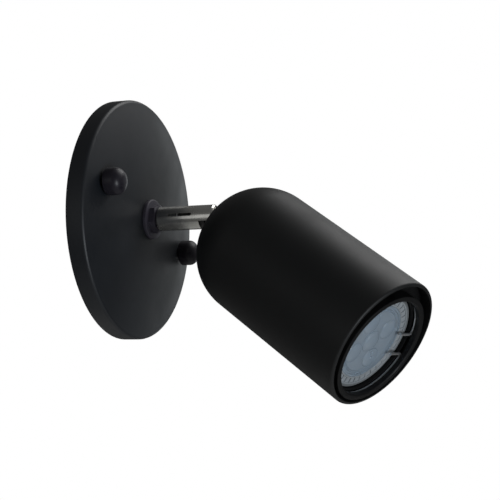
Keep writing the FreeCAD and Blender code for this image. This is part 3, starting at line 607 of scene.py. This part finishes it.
def turned_piece(name: str, outline: Sequence[Point], finish: Finish, own: OwnFrame, body: Body,
                 stands_for: Sequence[str] = (), steps: int = 160) -> bpy.types.Object:
    """Turn an outline and dress it as a piece; the arguments are those of turned_shape and dress."""
    mesh = finished_mesh(name, turned_shape(outline, steps), own.matrix())
    return dress(name, mesh, finish, own, body, stands_for)


def paint_node(name: str, finish: Finish, own: OwnFrame) -> None:
    """Give a CAD node that keeps its own shape its finish."""
    material = PAINT.of(finish, own)
    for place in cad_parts[name].material_slots:
        place.material = material
    LOG.info("%s: painted %s", name, finish.name)


# ---------------------------------------------------------------- repeated shapes


@dataclass
class Repeater:
    """Geometry Nodes trees for what repeats round an axis and for what follows a path."""

    ring_tree: Optional[bpy.types.NodeTree] = None
    wire_tree: Optional[bpy.types.NodeTree] = None

    @staticmethod
    def new_tree(name: str, inputs: Sequence[tuple[str, str]]) -> bpy.types.NodeTree:
        """Start a tree with named inputs and one geometry output.

        Args:
            name: the tree's name.
            inputs: name and socket type of each input after the geometry.

        Returns:
            The tree.
        """
        tree = bpy.data.node_groups.new(name, "GeometryNodeTree")
        tree.interface.new_socket(name="Geometry", in_out="INPUT", socket_type="NodeSocketGeometry")
        for label, kind in inputs:
            tree.interface.new_socket(name=label, in_out="INPUT", socket_type=kind)
        tree.interface.new_socket(name="Geometry", in_out="OUTPUT", socket_type="NodeSocketGeometry")
        return tree

    @staticmethod
    def finish_tree(tree: bpy.types.NodeTree, shape: bpy.types.NodeSocket,
                    material: bpy.types.NodeSocket) -> None:
        """End a tree in Realize Instances and Set Material."""
        real = add_node(tree, "GeometryNodeRealizeInstances", links={"Geometry": shape})
        painted = add_node(tree, "GeometryNodeSetMaterial",
                           links={"Geometry": real.outputs[0], "Material": material})
        add_node(tree, "NodeGroupOutput", links={0: painted.outputs[0]})

    def ring(self) -> bpy.types.NodeTree:
        """The tree that sets copies of a shape evenly round the z axis, each turned with its place."""
        if self.ring_tree is not None:
            return self.ring_tree
        tree = self.new_tree("ring_of_copies", [
            ("Count", "NodeSocketInt"), ("Radius", "NodeSocketFloat"), ("Height", "NodeSocketFloat"),
            ("First Angle", "NodeSocketFloat"), ("Material", "NodeSocketMaterial"),
        ])
        given = add_node(tree, "NodeGroupInput")
        number = add_node(tree, "GeometryNodeInputIndex")
        share = add_node(tree, "ShaderNodeMath", {"operation": "DIVIDE"},
                         {0: number.outputs[0], 1: given.outputs["Count"]})
        swing = add_node(tree, "ShaderNodeMath", {"operation": "MULTIPLY_ADD", "in:1": 2.0 * math.pi},
                         {0: share.outputs[0], 2: given.outputs["First Angle"]})
        across = add_node(tree, "ShaderNodeMath", {"operation": "COSINE"}, {0: swing.outputs[0]})
        along = add_node(tree, "ShaderNodeMath", {"operation": "SINE"}, {0: swing.outputs[0]})
        sides = [add_node(tree, "ShaderNodeMath", {"operation": "MULTIPLY"},
                          {0: way.outputs[0], 1: given.outputs["Radius"]}) for way in (across, along)]
        place = add_node(tree, "ShaderNodeCombineXYZ", links={
            "X": sides[0].outputs[0], "Y": sides[1].outputs[0], "Z": given.outputs["Height"]})
        points = add_node(tree, "GeometryNodePoints",
                          links={"Count": given.outputs["Count"], "Position": place.outputs[0]})
        turn = add_node(tree, "ShaderNodeCombineXYZ", links={"Z": swing.outputs[0]})
        copies = add_node(tree, "GeometryNodeInstanceOnPoints", links={
            "Points": points.outputs[0], "Instance": given.outputs["Geometry"],
            "Rotation": turn.outputs[0]})
        self.finish_tree(tree, copies.outputs[0], given.outputs["Material"])
        self.ring_tree = tree
        return tree

    def wire(self) -> bpy.types.NodeTree:
        """The tree that sweeps a round wire along the edges of a mesh."""
        if self.wire_tree is not None:
            return self.wire_tree
        tree = self.new_tree("wire_on_path", [
            ("Wire Radius", "NodeSocketFloat"), ("Sides", "NodeSocketInt"),
            ("Material", "NodeSocketMaterial"),
        ])
        given = add_node(tree, "NodeGroupInput")
        path = add_node(tree, "GeometryNodeMeshToCurve", links={"Mesh": given.outputs["Geometry"]})
        outline = add_node(tree, "GeometryNodeCurvePrimitiveCircle", links={
            "Resolution": given.outputs["Sides"], "Radius": given.outputs["Wire Radius"]})
        wire = add_node(tree, "GeometryNodeCurveToMesh", {"in:Fill Caps": True}, {
            "Curve": path.outputs[0], "Profile Curve": outline.outputs[0]})
        self.finish_tree(tree, wire.outputs[0], given.outputs["Material"])
        self.wire_tree = tree
        return tree

    @staticmethod
    def run(tree: bpy.types.NodeTree, shape: bpy.types.Mesh, given: dict[str, object]) -> bpy.types.Mesh:
        """Run a tree on a mesh and give the plain mesh that it makes.

        Args:
            tree: the tree.
            shape: the mesh that goes in.
            given: input values by name.

        Returns:
            The new mesh, in the same frame.
        """
        thing = scene_object("repeated", shape)
        modifier = thing.modifiers.new("repeat", "NODES")
        modifier.node_group = tree
        for item in tree.interface.items_tree:
            if item.in_out == "INPUT" and item.name in given:
                modifier[item.identifier] = given[item.name]
        return solid_of(thing)

    def round_axis(self, shape: bpy.types.Mesh, count: int, radius: float, height: float,
                   first: float, material: bpy.types.Material) -> bpy.types.Mesh:
        """Copies of a shape round the z axis.

        Args:
            shape: one copy, at the origin, facing +x.
            count: number of copies.
            radius: distance from the axis.
            height: height of the copies.
            first: angle of the first, in degrees.
            material: their material.

        Returns:
            One mesh of all the copies.
        """
        return self.run(self.ring(), shape, {
            "Count": count, "Radius": float(radius), "Height": float(height),
            "First Angle": math.radians(first), "Material": material})

    def along(self, points: Sequence[tuple[float, float, float]], radius: float, sides: int,
              material: bpy.types.Material) -> bpy.types.Mesh:
        """A round wire through points; the arguments are the points, its radius, sides and material."""
        path = bpy.data.meshes.new("path")
        path.from_pydata(list(points), [(i, i + 1) for i in range(len(points) - 1)], [])
        return self.run(self.wire(), path, {
            "Wire Radius": float(radius), "Sides": sides, "Material": material})


REPEAT = Repeater()


# ---------------------------------------------------------------- wall side


@dataclass
class WallSide:
    """The canopy and all that stays still with it; sizes in millimetres."""

    rim_radius: float = 60.3
    rim_depth: float = 9.2
    edge_radius: float = 1.8
    wall: float = 1.0
    hub_radius: float = 11.0
    hub_face: float = 14.4
    hub_hole: float = 5.03
    stud_reach: float = 44.45
    stud_hole: float = 2.4
    nut_seat: float = 12.365
    nut_radius: float = 6.6
    nut_height: float = 8.9
    nut_skirt: float = 4.4
    nut_bore: float = 2.1
    nut_bore_depth: float = 6.2
    washer_radius: float = 10.0
    washer_front: float = 16.3
    jam_front: float = 19.3
    jam_flats: float = 13.0
    jam_chamfer: float = 0.6
    jam_spin: float = 15.0
    nut_crown_flat: float = 1.2
    nut_foot_chamfer: float = 0.35
    nut_bore_point: float = 0.8
    hole_cut: tuple[float, float] = (5.0, 18.0)
    stem_cut: tuple[float, float] = (10.0, 25.0)

    def dome(self) -> tuple[float, float]:
        """Centre height and radius of the dome's outer face."""
        foot = self.rim_radius - self.edge_radius
        rise = self.hub_face - self.rim_depth
        drop = (foot ** 2 - self.hub_radius ** 2 - rise ** 2) / (2.0 * rise)
        return self.rim_depth - drop, math.hypot(foot, drop)

    def dome_points(self, radius: float, inner: float, outer: float, steps: int) -> list[Point]:
        """Points of the dome between two distances from the axis, from the outer one inwards."""
        centre = self.dome()[0]
        points = []
        for i in range(steps + 1):
            out = outer + (inner - outer) * i / steps
            points.append((out, centre + math.sqrt(radius ** 2 - out ** 2)))
        return points

    def canopy(self) -> None:
        """The pressed dish, with a hole under each cap nut."""
        centre, radius = self.dome()
        foot = self.rim_radius - self.edge_radius
        corner = (foot, self.rim_depth - self.edge_radius)
        inner_radius = radius - self.wall
        inner_rim = self.rim_radius - self.wall
        inner_hub = self.hub_face - self.wall
        inner_hub_out = math.sqrt(inner_radius ** 2 - (inner_hub - centre) ** 2)
        outline = [(self.hub_hole, inner_hub)]
        outline += self.dome_points(inner_radius, inner_rim, inner_hub_out, 24)
        outline += rounded([(inner_rim, 3.0), (inner_rim, 0.0), (self.rim_radius, 0.0, 0.15),
                            (self.rim_radius, 3.0)])[1:-1]
        outline += arc(corner, self.edge_radius, 0.0, 86.0, 8)
        outline += self.dome_points(radius, self.hub_radius, foot - 0.3, 28)
        outline += [(self.hub_hole, self.hub_face)]
        holes = []
        for reach in (self.stud_reach, -self.stud_reach):
            holes.append(prism(circle((reach, 0.0), self.stud_hole, 40), *self.hole_cut))
        mesh = carved(turned_shape(outline, 288), holes)
        mesh = finished_mesh("canopy_shell", mesh, STUD_FRAME.matrix(), crease=28.0)
        dress("canopy_shell", mesh, CANOPY_COAT, STUD_FRAME, Body.WALL, ["canopy"])

    def cap_nuts(self) -> None:
        """The two domed nuts, as copies of one."""
        top = self.nut_seat + self.nut_height
        shoulder = self.nut_seat + self.nut_skirt
        outline = rounded([
            (0.0, self.nut_seat + self.nut_bore_depth + self.nut_bore_point),
            (self.nut_bore, self.nut_seat + self.nut_bore_depth),
            (self.nut_bore, self.nut_seat),
            (self.nut_radius - self.nut_foot_chamfer, self.nut_seat),
            (self.nut_radius, self.nut_seat + self.nut_foot_chamfer),
        ])
        outline += quarter_dome((self.nut_crown_flat, shoulder), self.nut_radius - self.nut_crown_flat,
                                top - shoulder, 14)
        outline += [(0.0, top)]
        one = turned_shape(outline, 72)
        material = PAINT.of(BLACK_OXIDE, STUD_FRAME)
        mesh = REPEAT.round_axis(one, 2, self.stud_reach, 0.0, 0.0, material)
        mesh = finished_mesh("domed_nuts", mesh, STUD_FRAME.matrix(), crease=40.0)
        dress("domed_nuts", mesh, BLACK_OXIDE, STUD_FRAME, Body.WALL, ["cap_nuts"])

    def washer(self) -> None:
        """The round washer at the root of the stem."""
        outline = rounded([
            (self.hub_hole, self.hub_face), (self.washer_radius, self.hub_face, 0.15),
            (self.washer_radius, self.washer_front, 0.6), (self.hub_hole, self.washer_front)])
        # The washer is painted paler than the cap nuts, as painted light against the stem's shade.
        turned_piece("stem_washer", outline, SHADE_LIFTED_OXIDE, WALL_FRAME, Body.WALL, ["seating_washer"])

    def jam_nut(self) -> None:
        """The hexagon nut on the washer, its corners turned off."""
        corner = self.jam_flats / math.sqrt(3.0)
        nut = prism(circle((0.0, 0.0), corner, 6), self.washer_front, self.jam_front)
        flat = self.jam_flats / 2.0
        far = corner + 2.0
        away = turned_shape([(flat, self.jam_front + 1.0), (flat, self.jam_front),
                             (corner + 0.1, self.jam_front - self.jam_chamfer),
                             (far, self.jam_front - self.jam_chamfer),
                             (far, self.jam_front + 1.0)], 96)
        low, high = self.stem_cut
        bore = turned_shape([(0.0, low), (self.hub_hole, low), (self.hub_hole, high), (0.0, high)], 64)
        mesh = carved(nut, [away, bore])
        mesh = finished_mesh("stem_nut", mesh, WALL_FRAME.matrix(self.jam_spin), crease=25.0)
        # The collar nut is painted paler than the cap nuts, as painted light against the stem's shade.
        dress("stem_nut", mesh, SHADE_LIFTED_OXIDE, WALL_FRAME, Body.WALL, ["jam_nut"])

    def build(self) -> None:
        """Make and dress every piece of the wall side."""
        self.canopy()
        self.cap_nuts()
        self.washer()
        self.jam_nut()
        for name in ("mounting_plate", "stud_nuts", "nipple_locknut", "lock_washer"):
            paint_node(name, ZINC_PLATE, WALL_FRAME)
        for name in ("canopy_studs", "nipple"):
            paint_node(name, ZINC_THREAD, WALL_FRAME)
        paint_node("ground_screw", EARTH_GREEN, WALL_FRAME)


# ---------------------------------------------------------------- barrel


@dataclass
class Barrel:
    """The barrel that turns on the stem, and what it holds; sizes in millimetres."""

    radius: float = 6.0
    bore: float = 5.06
    root: float = 19.4
    end: float = 50.0
    chamfer: float = 0.7
    slit_start: float = 26.5
    slit_length: float = 12.5
    slit_width: float = 1.5
    slit_angle: float = 285.0
    notch_foot: float = 42.6
    notch_width: float = 8.0
    screw_angle: float = 108.0
    screw_height: float = 24.4
    screw_hole: float = 1.25
    pivot: float = 48.4
    pin_hole: float = 0.775
    wall_cut: tuple[float, float] = (2.5, 9.0)

    def across(self, corners: Sequence[Point], angle: float) -> bpy.types.Mesh:
        """A cutter through one wall.

        Args:
            corners: its outline as (sideways, height).
            angle: the way that it points, in degrees about the axis.

        Returns:
            The cutter.
        """
        cutter = prism(corners, *self.wall_cut)
        swap = Matrix(((0.0, 0.0, 1.0, 0.0), (1.0, 0.0, 0.0, 0.0),
                       (0.0, 1.0, 0.0, 0.0), (0.0, 0.0, 0.0, 1.0)))
        cutter.transform(Matrix.Rotation(math.radians(angle), 4, "Z") @ swap)
        return cutter

    def slot_outline(self) -> list[Point]:
        """The slit's outline: straight sides and round ends."""
        half = self.slit_width / 2.0
        top = self.slit_start + self.slit_length - half
        low = self.slit_start + half
        return arc((0.0, top), half, 0.0, 180.0, 10) + arc((0.0, low), half, 180.0, 360.0, 10)

    def tube(self) -> None:
        """The barrel with its slit, notch, screw hole and pin holes."""
        inner = self.bore
        outline = rounded([
            (inner, self.root), (self.radius - self.chamfer, self.root, 0.06),
            (self.radius, self.root + self.chamfer, 0.12), (self.radius, self.end - self.chamfer, 0.12),
            (self.radius - self.chamfer, self.end, 0.06), (inner, self.end)], 3)
        half = self.notch_width / 2.0
        notch = [(-half, self.notch_foot), (half, self.notch_foot), (half, self.end + 2.0),
                 (-half, self.end + 2.0)]
        cutters = [
            self.across(notch, 0.0),
            self.across(self.slot_outline(), self.slit_angle),
            self.across(circle((0.0, self.screw_height), self.screw_hole, 24), self.screw_angle),
            self.across(circle((0.0, self.pivot), self.pin_hole, 24), 90.0),
            self.across(circle((0.0, self.pivot), self.pin_hole, 24), -90.0),
        ]
        mesh = carved(turned_shape(outline, 128), cutters)
        mesh = finished_mesh("stem_barrel", mesh, SWIVEL_FRAME.matrix(), crease=26.0)
        dress("stem_barrel", mesh, BLACK_NICKEL, SWIVEL_FRAME, Body.SWIVEL, ["swivel_barrel"])

    def build(self) -> None:
        """Make and dress every piece of the barrel."""
        self.tube()
        paint_node("stop_screw", BLACK_OXIDE, SWIVEL_FRAME)
        paint_node("disc_spring", SPRING_WIRE, SWIVEL_FRAME)
        paint_node("friction_sleeve", ACETAL, SWIVEL_FRAME)
        paint_node("pivot_pins", BLACK_NICKEL, SWIVEL_FRAME)


# ---------------------------------------------------------------- head


@dataclass
class Head:
    """The bullet-shaped head and what clamps and carries the lamp; sizes in millimetres."""

    radius: float = 31.5
    standoff: float = 6.95
    length: float = 110.0
    wall: float = 1.6
    back_flat: float = 2.5
    spot_depth: float = 0.15
    boss_thickness: float = 2.35
    mouth_radius: float = 1.2
    hole: float = 3.95

    def shell(self) -> None:
        """The tube with its round back."""
        back = self.radius - self.back_flat
        centre = (self.back_flat, self.standoff + back)
        seat = self.standoff + self.spot_depth
        seat_angle = -math.degrees(math.asin((centre[1] - seat) / back))
        inner = back - self.wall
        boss = seat + self.boss_thickness
        boss_angle = -math.degrees(math.asin((centre[1] - boss) / inner))
        mouth = self.standoff + self.length
        bore = self.radius - self.wall
        outline: list[Point] = [(self.hole, boss), (self.hole, seat)]
        outline += arc(centre, back, seat_angle, 0.0, 40)
        lip = (self.radius - self.mouth_radius, mouth - self.mouth_radius)
        for share in (0.4, 0.75):
            outline.append((self.radius, centre[1] + (mouth - centre[1]) * share))
        outline += arc(lip, self.mouth_radius, 0.0, 90.0, 8)
        outline += rounded([(bore + 1.0, mouth), (bore, mouth, 0.12), (bore, mouth - 2.0)])[1:-1]
        outline += arc(centre, inner, 0.0, boss_angle, 32)
        turned_piece("head_tube", outline, HEAD_COAT, HEAD_FRAME, Body.HEAD, ["head_shell"], steps=256)

    def build(self) -> None:
        """Make and dress every piece of the head but the lamp and the mouth."""
        self.shell()
        paint_node("knuckle", BLACK_NICKEL, HEAD_FRAME)
        for name in ("shell_washer", "shell_nut", "holder_bracket", "holder_screws"):
            paint_node(name, ZINC_PLATE, HEAD_FRAME)
        paint_node("bracket_earth_screw", EARTH_GREEN, HEAD_FRAME)
        paint_node("lampholder", STEATITE, LAMP_FRAME)
        paint_node("lamp_leads", LEAD_SKIN, HEAD_FRAME)


# ---------------------------------------------------------------- mouth


@dataclass
class MouthRing:
    """The ring in the mouth and the wire ring in its groove; sizes in millimetres."""

    mouth: float = 116.95
    recess: float = 0.3
    length: float = 12.0
    radius: float = 29.8
    bore: float = 24.15
    groove: float = 26.1
    collar: float = 26.8
    step: float = 6.0
    chamfer: float = 0.5
    clip_depth: float = 3.9
    groove_width: float = 1.7
    clip_radius: float = 25.4
    wire: float = 0.65
    half_gap: float = 5.15
    bend: float = 1.7
    inner_end: float = 15.6
    clip_spin: float = 122.0
    end_steps: int = 8
    bend_steps: int = 12
    round_steps: int = 144

    def ring(self) -> None:
        """The flange that fills the tube, and the collar on it with the groove for the wire."""
        face = self.mouth - self.recess
        step = face - self.step
        clip = self.mouth - self.clip_depth
        half = self.groove_width / 2.0
        collar = rounded([
            (self.bore, step), (self.collar, step), (self.collar, face, 0.35),
            (self.bore + self.chamfer, face, 0.2), (self.bore, face - self.chamfer, 0.2),
            (self.bore, clip + half, 0.1), (self.groove, clip + half, 0.1),
            (self.groove, clip - half, 0.1), (self.bore, clip - half, 0.1)], 4)
        low = face - self.length
        flange = turned_shape([(0.0, low), (self.radius, low), (self.radius, step), (0.0, step)], 224)
        flange.transform(Matrix.Translation((-LAMP_FRAME.across, -LAMP_FRAME.along, 0.0)))
        bore = turned_shape([(0.0, low - 1.0), (self.bore, low - 1.0), (self.bore, face), (0.0, face)], 224)
        mesh = joined([carved(flange, [bore]), turned_shape(collar, 224)])
        mesh = finished_mesh("mouth_ring", mesh, LAMP_FRAME.matrix())
        dress("mouth_ring", mesh, MOUTH_RING, LAMP_FRAME, Body.HEAD, ["front_ring"])

    def path(self) -> list[tuple[float, float, float]]:
        """Middle line of the wire, from one inner end round to the other."""
        height = self.mouth - self.clip_depth
        along = self.half_gap + self.bend
        reach = math.sqrt((self.clip_radius - self.bend) ** 2 - along ** 2)
        touch = math.atan2(along, reach)
        step = (reach - self.inner_end) / self.end_steps
        points = [(self.inner_end + step * i, self.half_gap) for i in range(self.end_steps + 1)]
        for i in range(1, self.bend_steps + 1):
            angle = -math.pi / 2.0 + (touch + math.pi / 2.0) * i / self.bend_steps
            points.append((reach + self.bend * math.cos(angle), along + self.bend * math.sin(angle)))
        other = [(x, -y) for x, y in points]
        for i in range(1, self.round_steps):
            angle = touch + 2.0 * (math.pi - touch) * i / self.round_steps
            points.append((self.clip_radius * math.cos(angle), self.clip_radius * math.sin(angle)))
        points += other[::-1]
        return [(x, y, height) for x, y in points]

    def clip(self) -> None:
        """The spring wire ring with its two ends bent inwards."""
        own = LAMP_FRAME
        mesh = REPEAT.along(self.path(), self.wire, 20, PAINT.of(SPRING_WIRE, own))
        mesh = finished_mesh("wire_clip", mesh, own.matrix(self.clip_spin), crease=50.0)
        dress("wire_clip", mesh, SPRING_WIRE, own, Body.HEAD, ["retaining_ring"])

    def build(self) -> None:
        """Make and dress both rings."""
        self.ring()
        self.clip()


# ---------------------------------------------------------------- lamp


@dataclass
class Lamp:
    """The reflector lamp: housing, bezel, lens and light sources; sizes in millimetres."""

    face: float = 110.45
    base: float = 64.05
    radius: float = 23.8
    base_radius: float = 11.8
    throat_radius: float = 12.6
    throat_height: float = 8.0
    rim_height: float = 4.2
    bulge: float = 62.0
    cup_radius: float = 22.6
    cup_depth: float = 11.3
    board_thickness: float = 1.2
    lens_radius: float = 18.5
    lens_thickness: float = 5.0
    lens_crown: float = 0.6
    play: float = 0.05
    ledge: float = 1.2
    sources: int = 4
    source_reach: float = 10.6
    source_angle: float = 66.0
    lenslet_radius: float = 5.0
    rib_count: int = 36
    view_spin: float = 90.0
    bezel_lip: float = 0.7
    bezel_step: float = 0.6
    step_rings: tuple[float, float] = (16.6, 15.9)
    middle_dome: float = 4.6
    lenslet_height: float = 0.9
    lenslet_sink: float = 0.6
    chip_half: float = 1.1

    def housing(self) -> None:
        """The lamp's flared housing with the cup for its optics."""
        throat = (self.throat_radius, self.base + self.throat_height)
        rim = (self.radius, self.face - self.rim_height)
        middle = Vector(((throat[0] + rim[0]) / 2.0, (throat[1] + rim[1]) / 2.0))
        chord = Vector((rim[0] - throat[0], rim[1] - throat[1]))
        side = Vector((-chord.y, chord.x)).normalized()
        centre = middle + side * math.sqrt(self.bulge ** 2 - (chord.length / 2.0) ** 2)
        start = math.degrees(math.atan2(throat[1] - centre.y, throat[0] - centre.x))
        end = math.degrees(math.atan2(rim[1] - centre.y, rim[0] - centre.x))
        outline: list[Point] = [(0.0, self.base), (self.base_radius, self.base)]
        outline += arc((centre.x, centre.y), self.bulge, start, end, 20)
        outline += rounded([(self.radius, self.face - 2.0), (self.radius, self.face, 0.5),
                            (self.cup_radius, self.face, 0.2), (self.cup_radius, self.face - 3.0)])[1:-1]
        outline += [(self.cup_radius, self.face - self.cup_depth), (0.0, self.face - self.cup_depth)]
        turned_piece("lamp_shell", outline, LAMP_PLASTIC, LAMP_FRAME, Body.HEAD, ["lamp_body"], steps=144)

    def bezel(self) -> None:
        """The ring round the lens, with a row of ribs moulded on it."""
        board = self.face - self.cup_depth + self.board_thickness
        lens_back = self.face - self.lens_thickness
        outer = self.cup_radius - self.play
        inner = self.lens_radius + self.play
        low = self.face - self.bezel_lip
        outline = rounded([
            (self.lens_radius - self.ledge, board), (outer, board), (outer, self.face, 0.2),
            (outer - self.bezel_lip, self.face, 0.15), (outer - self.bezel_lip, low, 0.1),
            (inner + self.bezel_step, low, 0.1),
            (inner + self.bezel_step, self.face, 0.15), (inner, self.face, 0.1), (inner, lens_back),
            (self.lens_radius - self.ledge, lens_back)], 3)
        turned_piece("lamp_collar", outline, BEZEL_PLASTIC, LAMP_FRAME, Body.HEAD, ["lamp_bezel"], steps=160)
        middle = (outer - self.bezel_lip + inner + self.bezel_step) / 2.0
        reach = (outer - inner - self.bezel_lip - self.bezel_step) / 2.0 - 0.1
        rib = prism([(-reach, -0.35), (reach, -0.45), (reach, 0.45), (-reach, 0.35)], -0.05, 0.5)
        mesh = REPEAT.round_axis(rib, self.rib_count, middle, low, 0.0, PAINT.of(BEZEL_PLASTIC, LAMP_FRAME))
        mesh = finished_mesh("collar_ribs", mesh, LAMP_FRAME.matrix(), crease=30.0)
        dress("collar_ribs", mesh, BEZEL_PLASTIC, LAMP_FRAME, Body.HEAD)

    def lens(self) -> None:
        """The clear lens with stepped rings, and a small dome over each light source."""
        low = self.face - self.lens_thickness
        outline: list[Point] = [(0.0, low), (self.lens_radius - 0.1, low), (self.lens_radius, low + 0.1)]
        outline += [(self.lens_radius, self.face - 0.25), (self.lens_radius - 0.25, self.face),
                    (self.lens_radius - 1.1, self.face), (self.lens_radius - 1.3, self.face - 0.5)]
        for out in self.step_rings:
            outline += [(out, self.face - 0.55), (out - 0.25, self.face - 0.2), (out - 0.5, self.face - 0.55)]
        outline += [(5.4, self.face - 0.6), (5.2, self.face - 0.25), (4.8, self.face - 0.1)]
        outline += quarter_dome((0.0, self.face - 0.1), self.middle_dome, self.lens_crown + 0.05, 6)
        turned_piece("lamp_window", outline, LENS_CLEAR, LAMP_FRAME, Body.HEAD, ["lamp_lens"], steps=160)
        dome = [(0.0, -0.4), (self.lenslet_radius, -0.4)]
        dome += quarter_dome((0.0, 0.0), self.lenslet_radius, self.lenslet_height, 10)
        mesh = REPEAT.round_axis(turned_shape(dome, 48), self.sources, self.source_reach,
                                 self.face - self.lenslet_sink, self.source_angle,
                                 PAINT.of(LENS_CLEAR, LAMP_FRAME))
        mesh = finished_mesh("window_domes", mesh, LAMP_FRAME.matrix(self.view_spin), crease=40.0)
        dress("window_domes", mesh, LENS_CLEAR, LAMP_FRAME, Body.HEAD)

    def light_sources(self) -> None:
        """Metallised cups on the board with a phosphor square in each."""
        board = self.face - self.cup_depth + self.board_thickness
        top = self.face - self.lens_thickness - 0.15
        cup = turned_shape([(1.7, board + 0.3), (4.9, top - 0.2), (5.1, top), (5.25, top - 0.15),
                            (2.6, board + 0.02), (1.7, board + 0.02)], 40)
        mesh = REPEAT.round_axis(cup, self.sources, self.source_reach, 0.0, self.source_angle,
                                 PAINT.of(CUP_METAL, LAMP_FRAME))
        mesh = finished_mesh("source_cups", mesh, LAMP_FRAME.matrix(self.view_spin), crease=40.0)
        dress("source_cups", mesh, CUP_METAL, LAMP_FRAME, Body.HEAD)
        half = self.chip_half
        chip = prism([(-half, -half), (half, -half), (half, half), (-half, half)], board + 0.01, board + 0.5)
        mesh = REPEAT.round_axis(chip, self.sources, self.source_reach, 0.0, self.source_angle,
                                 PAINT.of(PHOSPHOR, LAMP_FRAME))
        mesh = finished_mesh("light_sources", mesh, LAMP_FRAME.matrix(self.view_spin), crease=30.0)
        dress("light_sources", mesh, PHOSPHOR, LAMP_FRAME, Body.HEAD)

    def build(self) -> None:
        """Make and dress every piece of the lamp."""
        self.housing()
        self.bezel()
        self.lens()
        self.light_sources()
        paint_node("lamp_led_board", BOARD_MASK, LAMP_FRAME)
        paint_node("lamp_pins", PIN_NICKEL, LAMP_FRAME)


# ---------------------------------------------------------------- studio


@dataclass(frozen=True)
class SoftLight:
    """One rectangular studio light; lengths in metres."""

    name: str
    place: tuple[float, float, float]
    aim: tuple[float, float, float]
    width: float
    height: float
    power: float
    colour: str = "#ffffff"

    def build(self) -> None:
        """Make the light."""
        data = bpy.data.lights.new(self.name, "AREA")
        data.shape = "RECTANGLE"
        data.size = self.width
        data.size_y = self.height
        data.energy = self.power
        data.color = linear(self.colour)[:3]
        lamp = bpy.data.objects.new(self.name, data)
        bpy.context.scene.collection.objects.link(lamp)
        lamp.location = self.place
        way = Vector(self.aim) - Vector(self.place)
        lamp.rotation_euler = way.to_track_quat("-Z", "Y").to_euler()


@dataclass
class Studio:
    """Floor, sky, lights and the camera fitted to the photograph.

    The sky is seen at sky_seen but lights the part at sky_light, and the floor is hidden from the camera.
    """

    azimuth: float = -68.88
    elevation: float = -2.63
    roll: float = -0.91
    focal_px: float = 1172.95
    distance: float = 0.59296
    aim_px: tuple[float, float] = (141.95, 219.87)
    aim: tuple[float, float, float] = (0.0, -0.00924, 0.0)
    sensor: float = 36.0
    floor_height: float = -0.5
    floor_side: float = 1.0
    sky: str = "#ffffff"
    sky_seen: float = 1.0
    sky_light: float = 0.09
    lights: tuple[SoftLight, ...] = (
        SoftLight("overhead_softbox", (0.75, -0.55, 0.95), (0.0, -0.08, -0.02), 0.9, 0.9, 7.0),
        SoftLight("far_side_fill", (1.8, -0.12, 0.0), (0.0, -0.02, 0.0), 0.6, 1.2, 2.6, "#eef4f6"),
        SoftLight("camera_side_fill", (-1.4, 0.5, 0.1), (0.0, -0.05, 0.0), 0.8, 0.8, 0.9),
        SoftLight("low_front_fill", (-0.7, -1.3, -0.45), (-0.03, -0.14, -0.06), 0.5, 0.5, 8.0, "#f2f8ff"),
    )

    def camera(self) -> None:
        """The camera that the photograph's outlines give."""
        azimuth, elevation = math.radians(self.azimuth), math.radians(self.elevation)
        back = Vector((math.sin(azimuth) * math.cos(elevation),
                       -math.cos(azimuth) * math.cos(elevation), math.sin(elevation)))
        level = (-back).cross(Vector((0.0, 0.0, 1.0))).normalized()
        rise = level.cross(-back)
        roll = math.radians(self.roll)
        right = level * math.cos(roll) + rise * math.sin(roll)
        up = rise * math.cos(roll) - level * math.sin(roll)
        middle = IMAGE_SIDE / 2.0
        across = (self.aim_px[0] - middle) / self.focal_px
        along = -(self.aim_px[1] - middle) / self.focal_px
        place = Vector(self.aim) - (right * across + up * along - back) * self.distance
        data = bpy.data.cameras.new("camera")
        data.sensor_width = self.sensor
        data.lens = self.focal_px * self.sensor / IMAGE_SIDE
        data.clip_start = 0.01
        view = bpy.data.objects.new("camera", data)
        bpy.context.scene.collection.objects.link(view)
        turn = Matrix((right, up, back)).transposed().to_4x4()
        view.matrix_world = Matrix.Translation(place) @ turn
        bpy.context.scene.camera = view

    def floor(self) -> None:
        """A plain pale floor under the light: it throws light back and is not seen itself."""
        half = self.floor_side / 2.0
        mesh = bpy.data.meshes.new("floor")
        mesh.from_pydata([(x, y, self.floor_height) for x, y in
                          ((-half, -half), (half, -half), (half, half), (-half, half))], [], [(0, 1, 2, 3)])
        material = bpy.data.materials.new("pale floor")
        material.use_nodes = True
        shader = material.node_tree.nodes["Principled BSDF"]
        shader.inputs["Base Color"].default_value = linear("#f4f4f2")
        shader.inputs["Roughness"].default_value = 0.9
        mesh.materials.append(material)
        floor = scene_object("floor", mesh)
        floor.visible_camera = False

    def world(self) -> None:
        """A plain pale sky: full brightness behind the object, softer as a light."""
        world = bpy.data.worlds.new("sky")
        world.use_nodes = True
        tree = world.node_tree
        tree.nodes.clear()
        ray = add_node(tree, "ShaderNodeLightPath")
        strength = add_node(tree, "ShaderNodeMapRange", {
            "in:To Min": self.sky_light, "in:To Max": self.sky_seen}, {"Value": ray.outputs["Is Camera Ray"]})
        sky = add_node(tree, "ShaderNodeBackground", {"in:Color": linear(self.sky)},
                       {"Strength": strength.outputs[0]})
        add_node(tree, "ShaderNodeOutputWorld", links={"Surface": sky.outputs[0]})
        bpy.context.scene.world = world

    def build(self) -> None:
        """Make the whole studio."""
        bpy.context.scene.view_settings.view_transform = "Standard"
        self.world()
        self.floor()
        for light in self.lights:
            light.build()
        self.camera()


def main() -> None:
    """Build every sub-assembly in order."""
    for part in (WallSide(), Barrel(), Head(), MouthRing(), Lamp(), Studio()):
        LOG.info("building %s", type(part).__name__)
        part.build()


if __name__ == "__main__":
    logging.basicConfig(level=logging.INFO, format="%(name)s %(message)s")
    main()
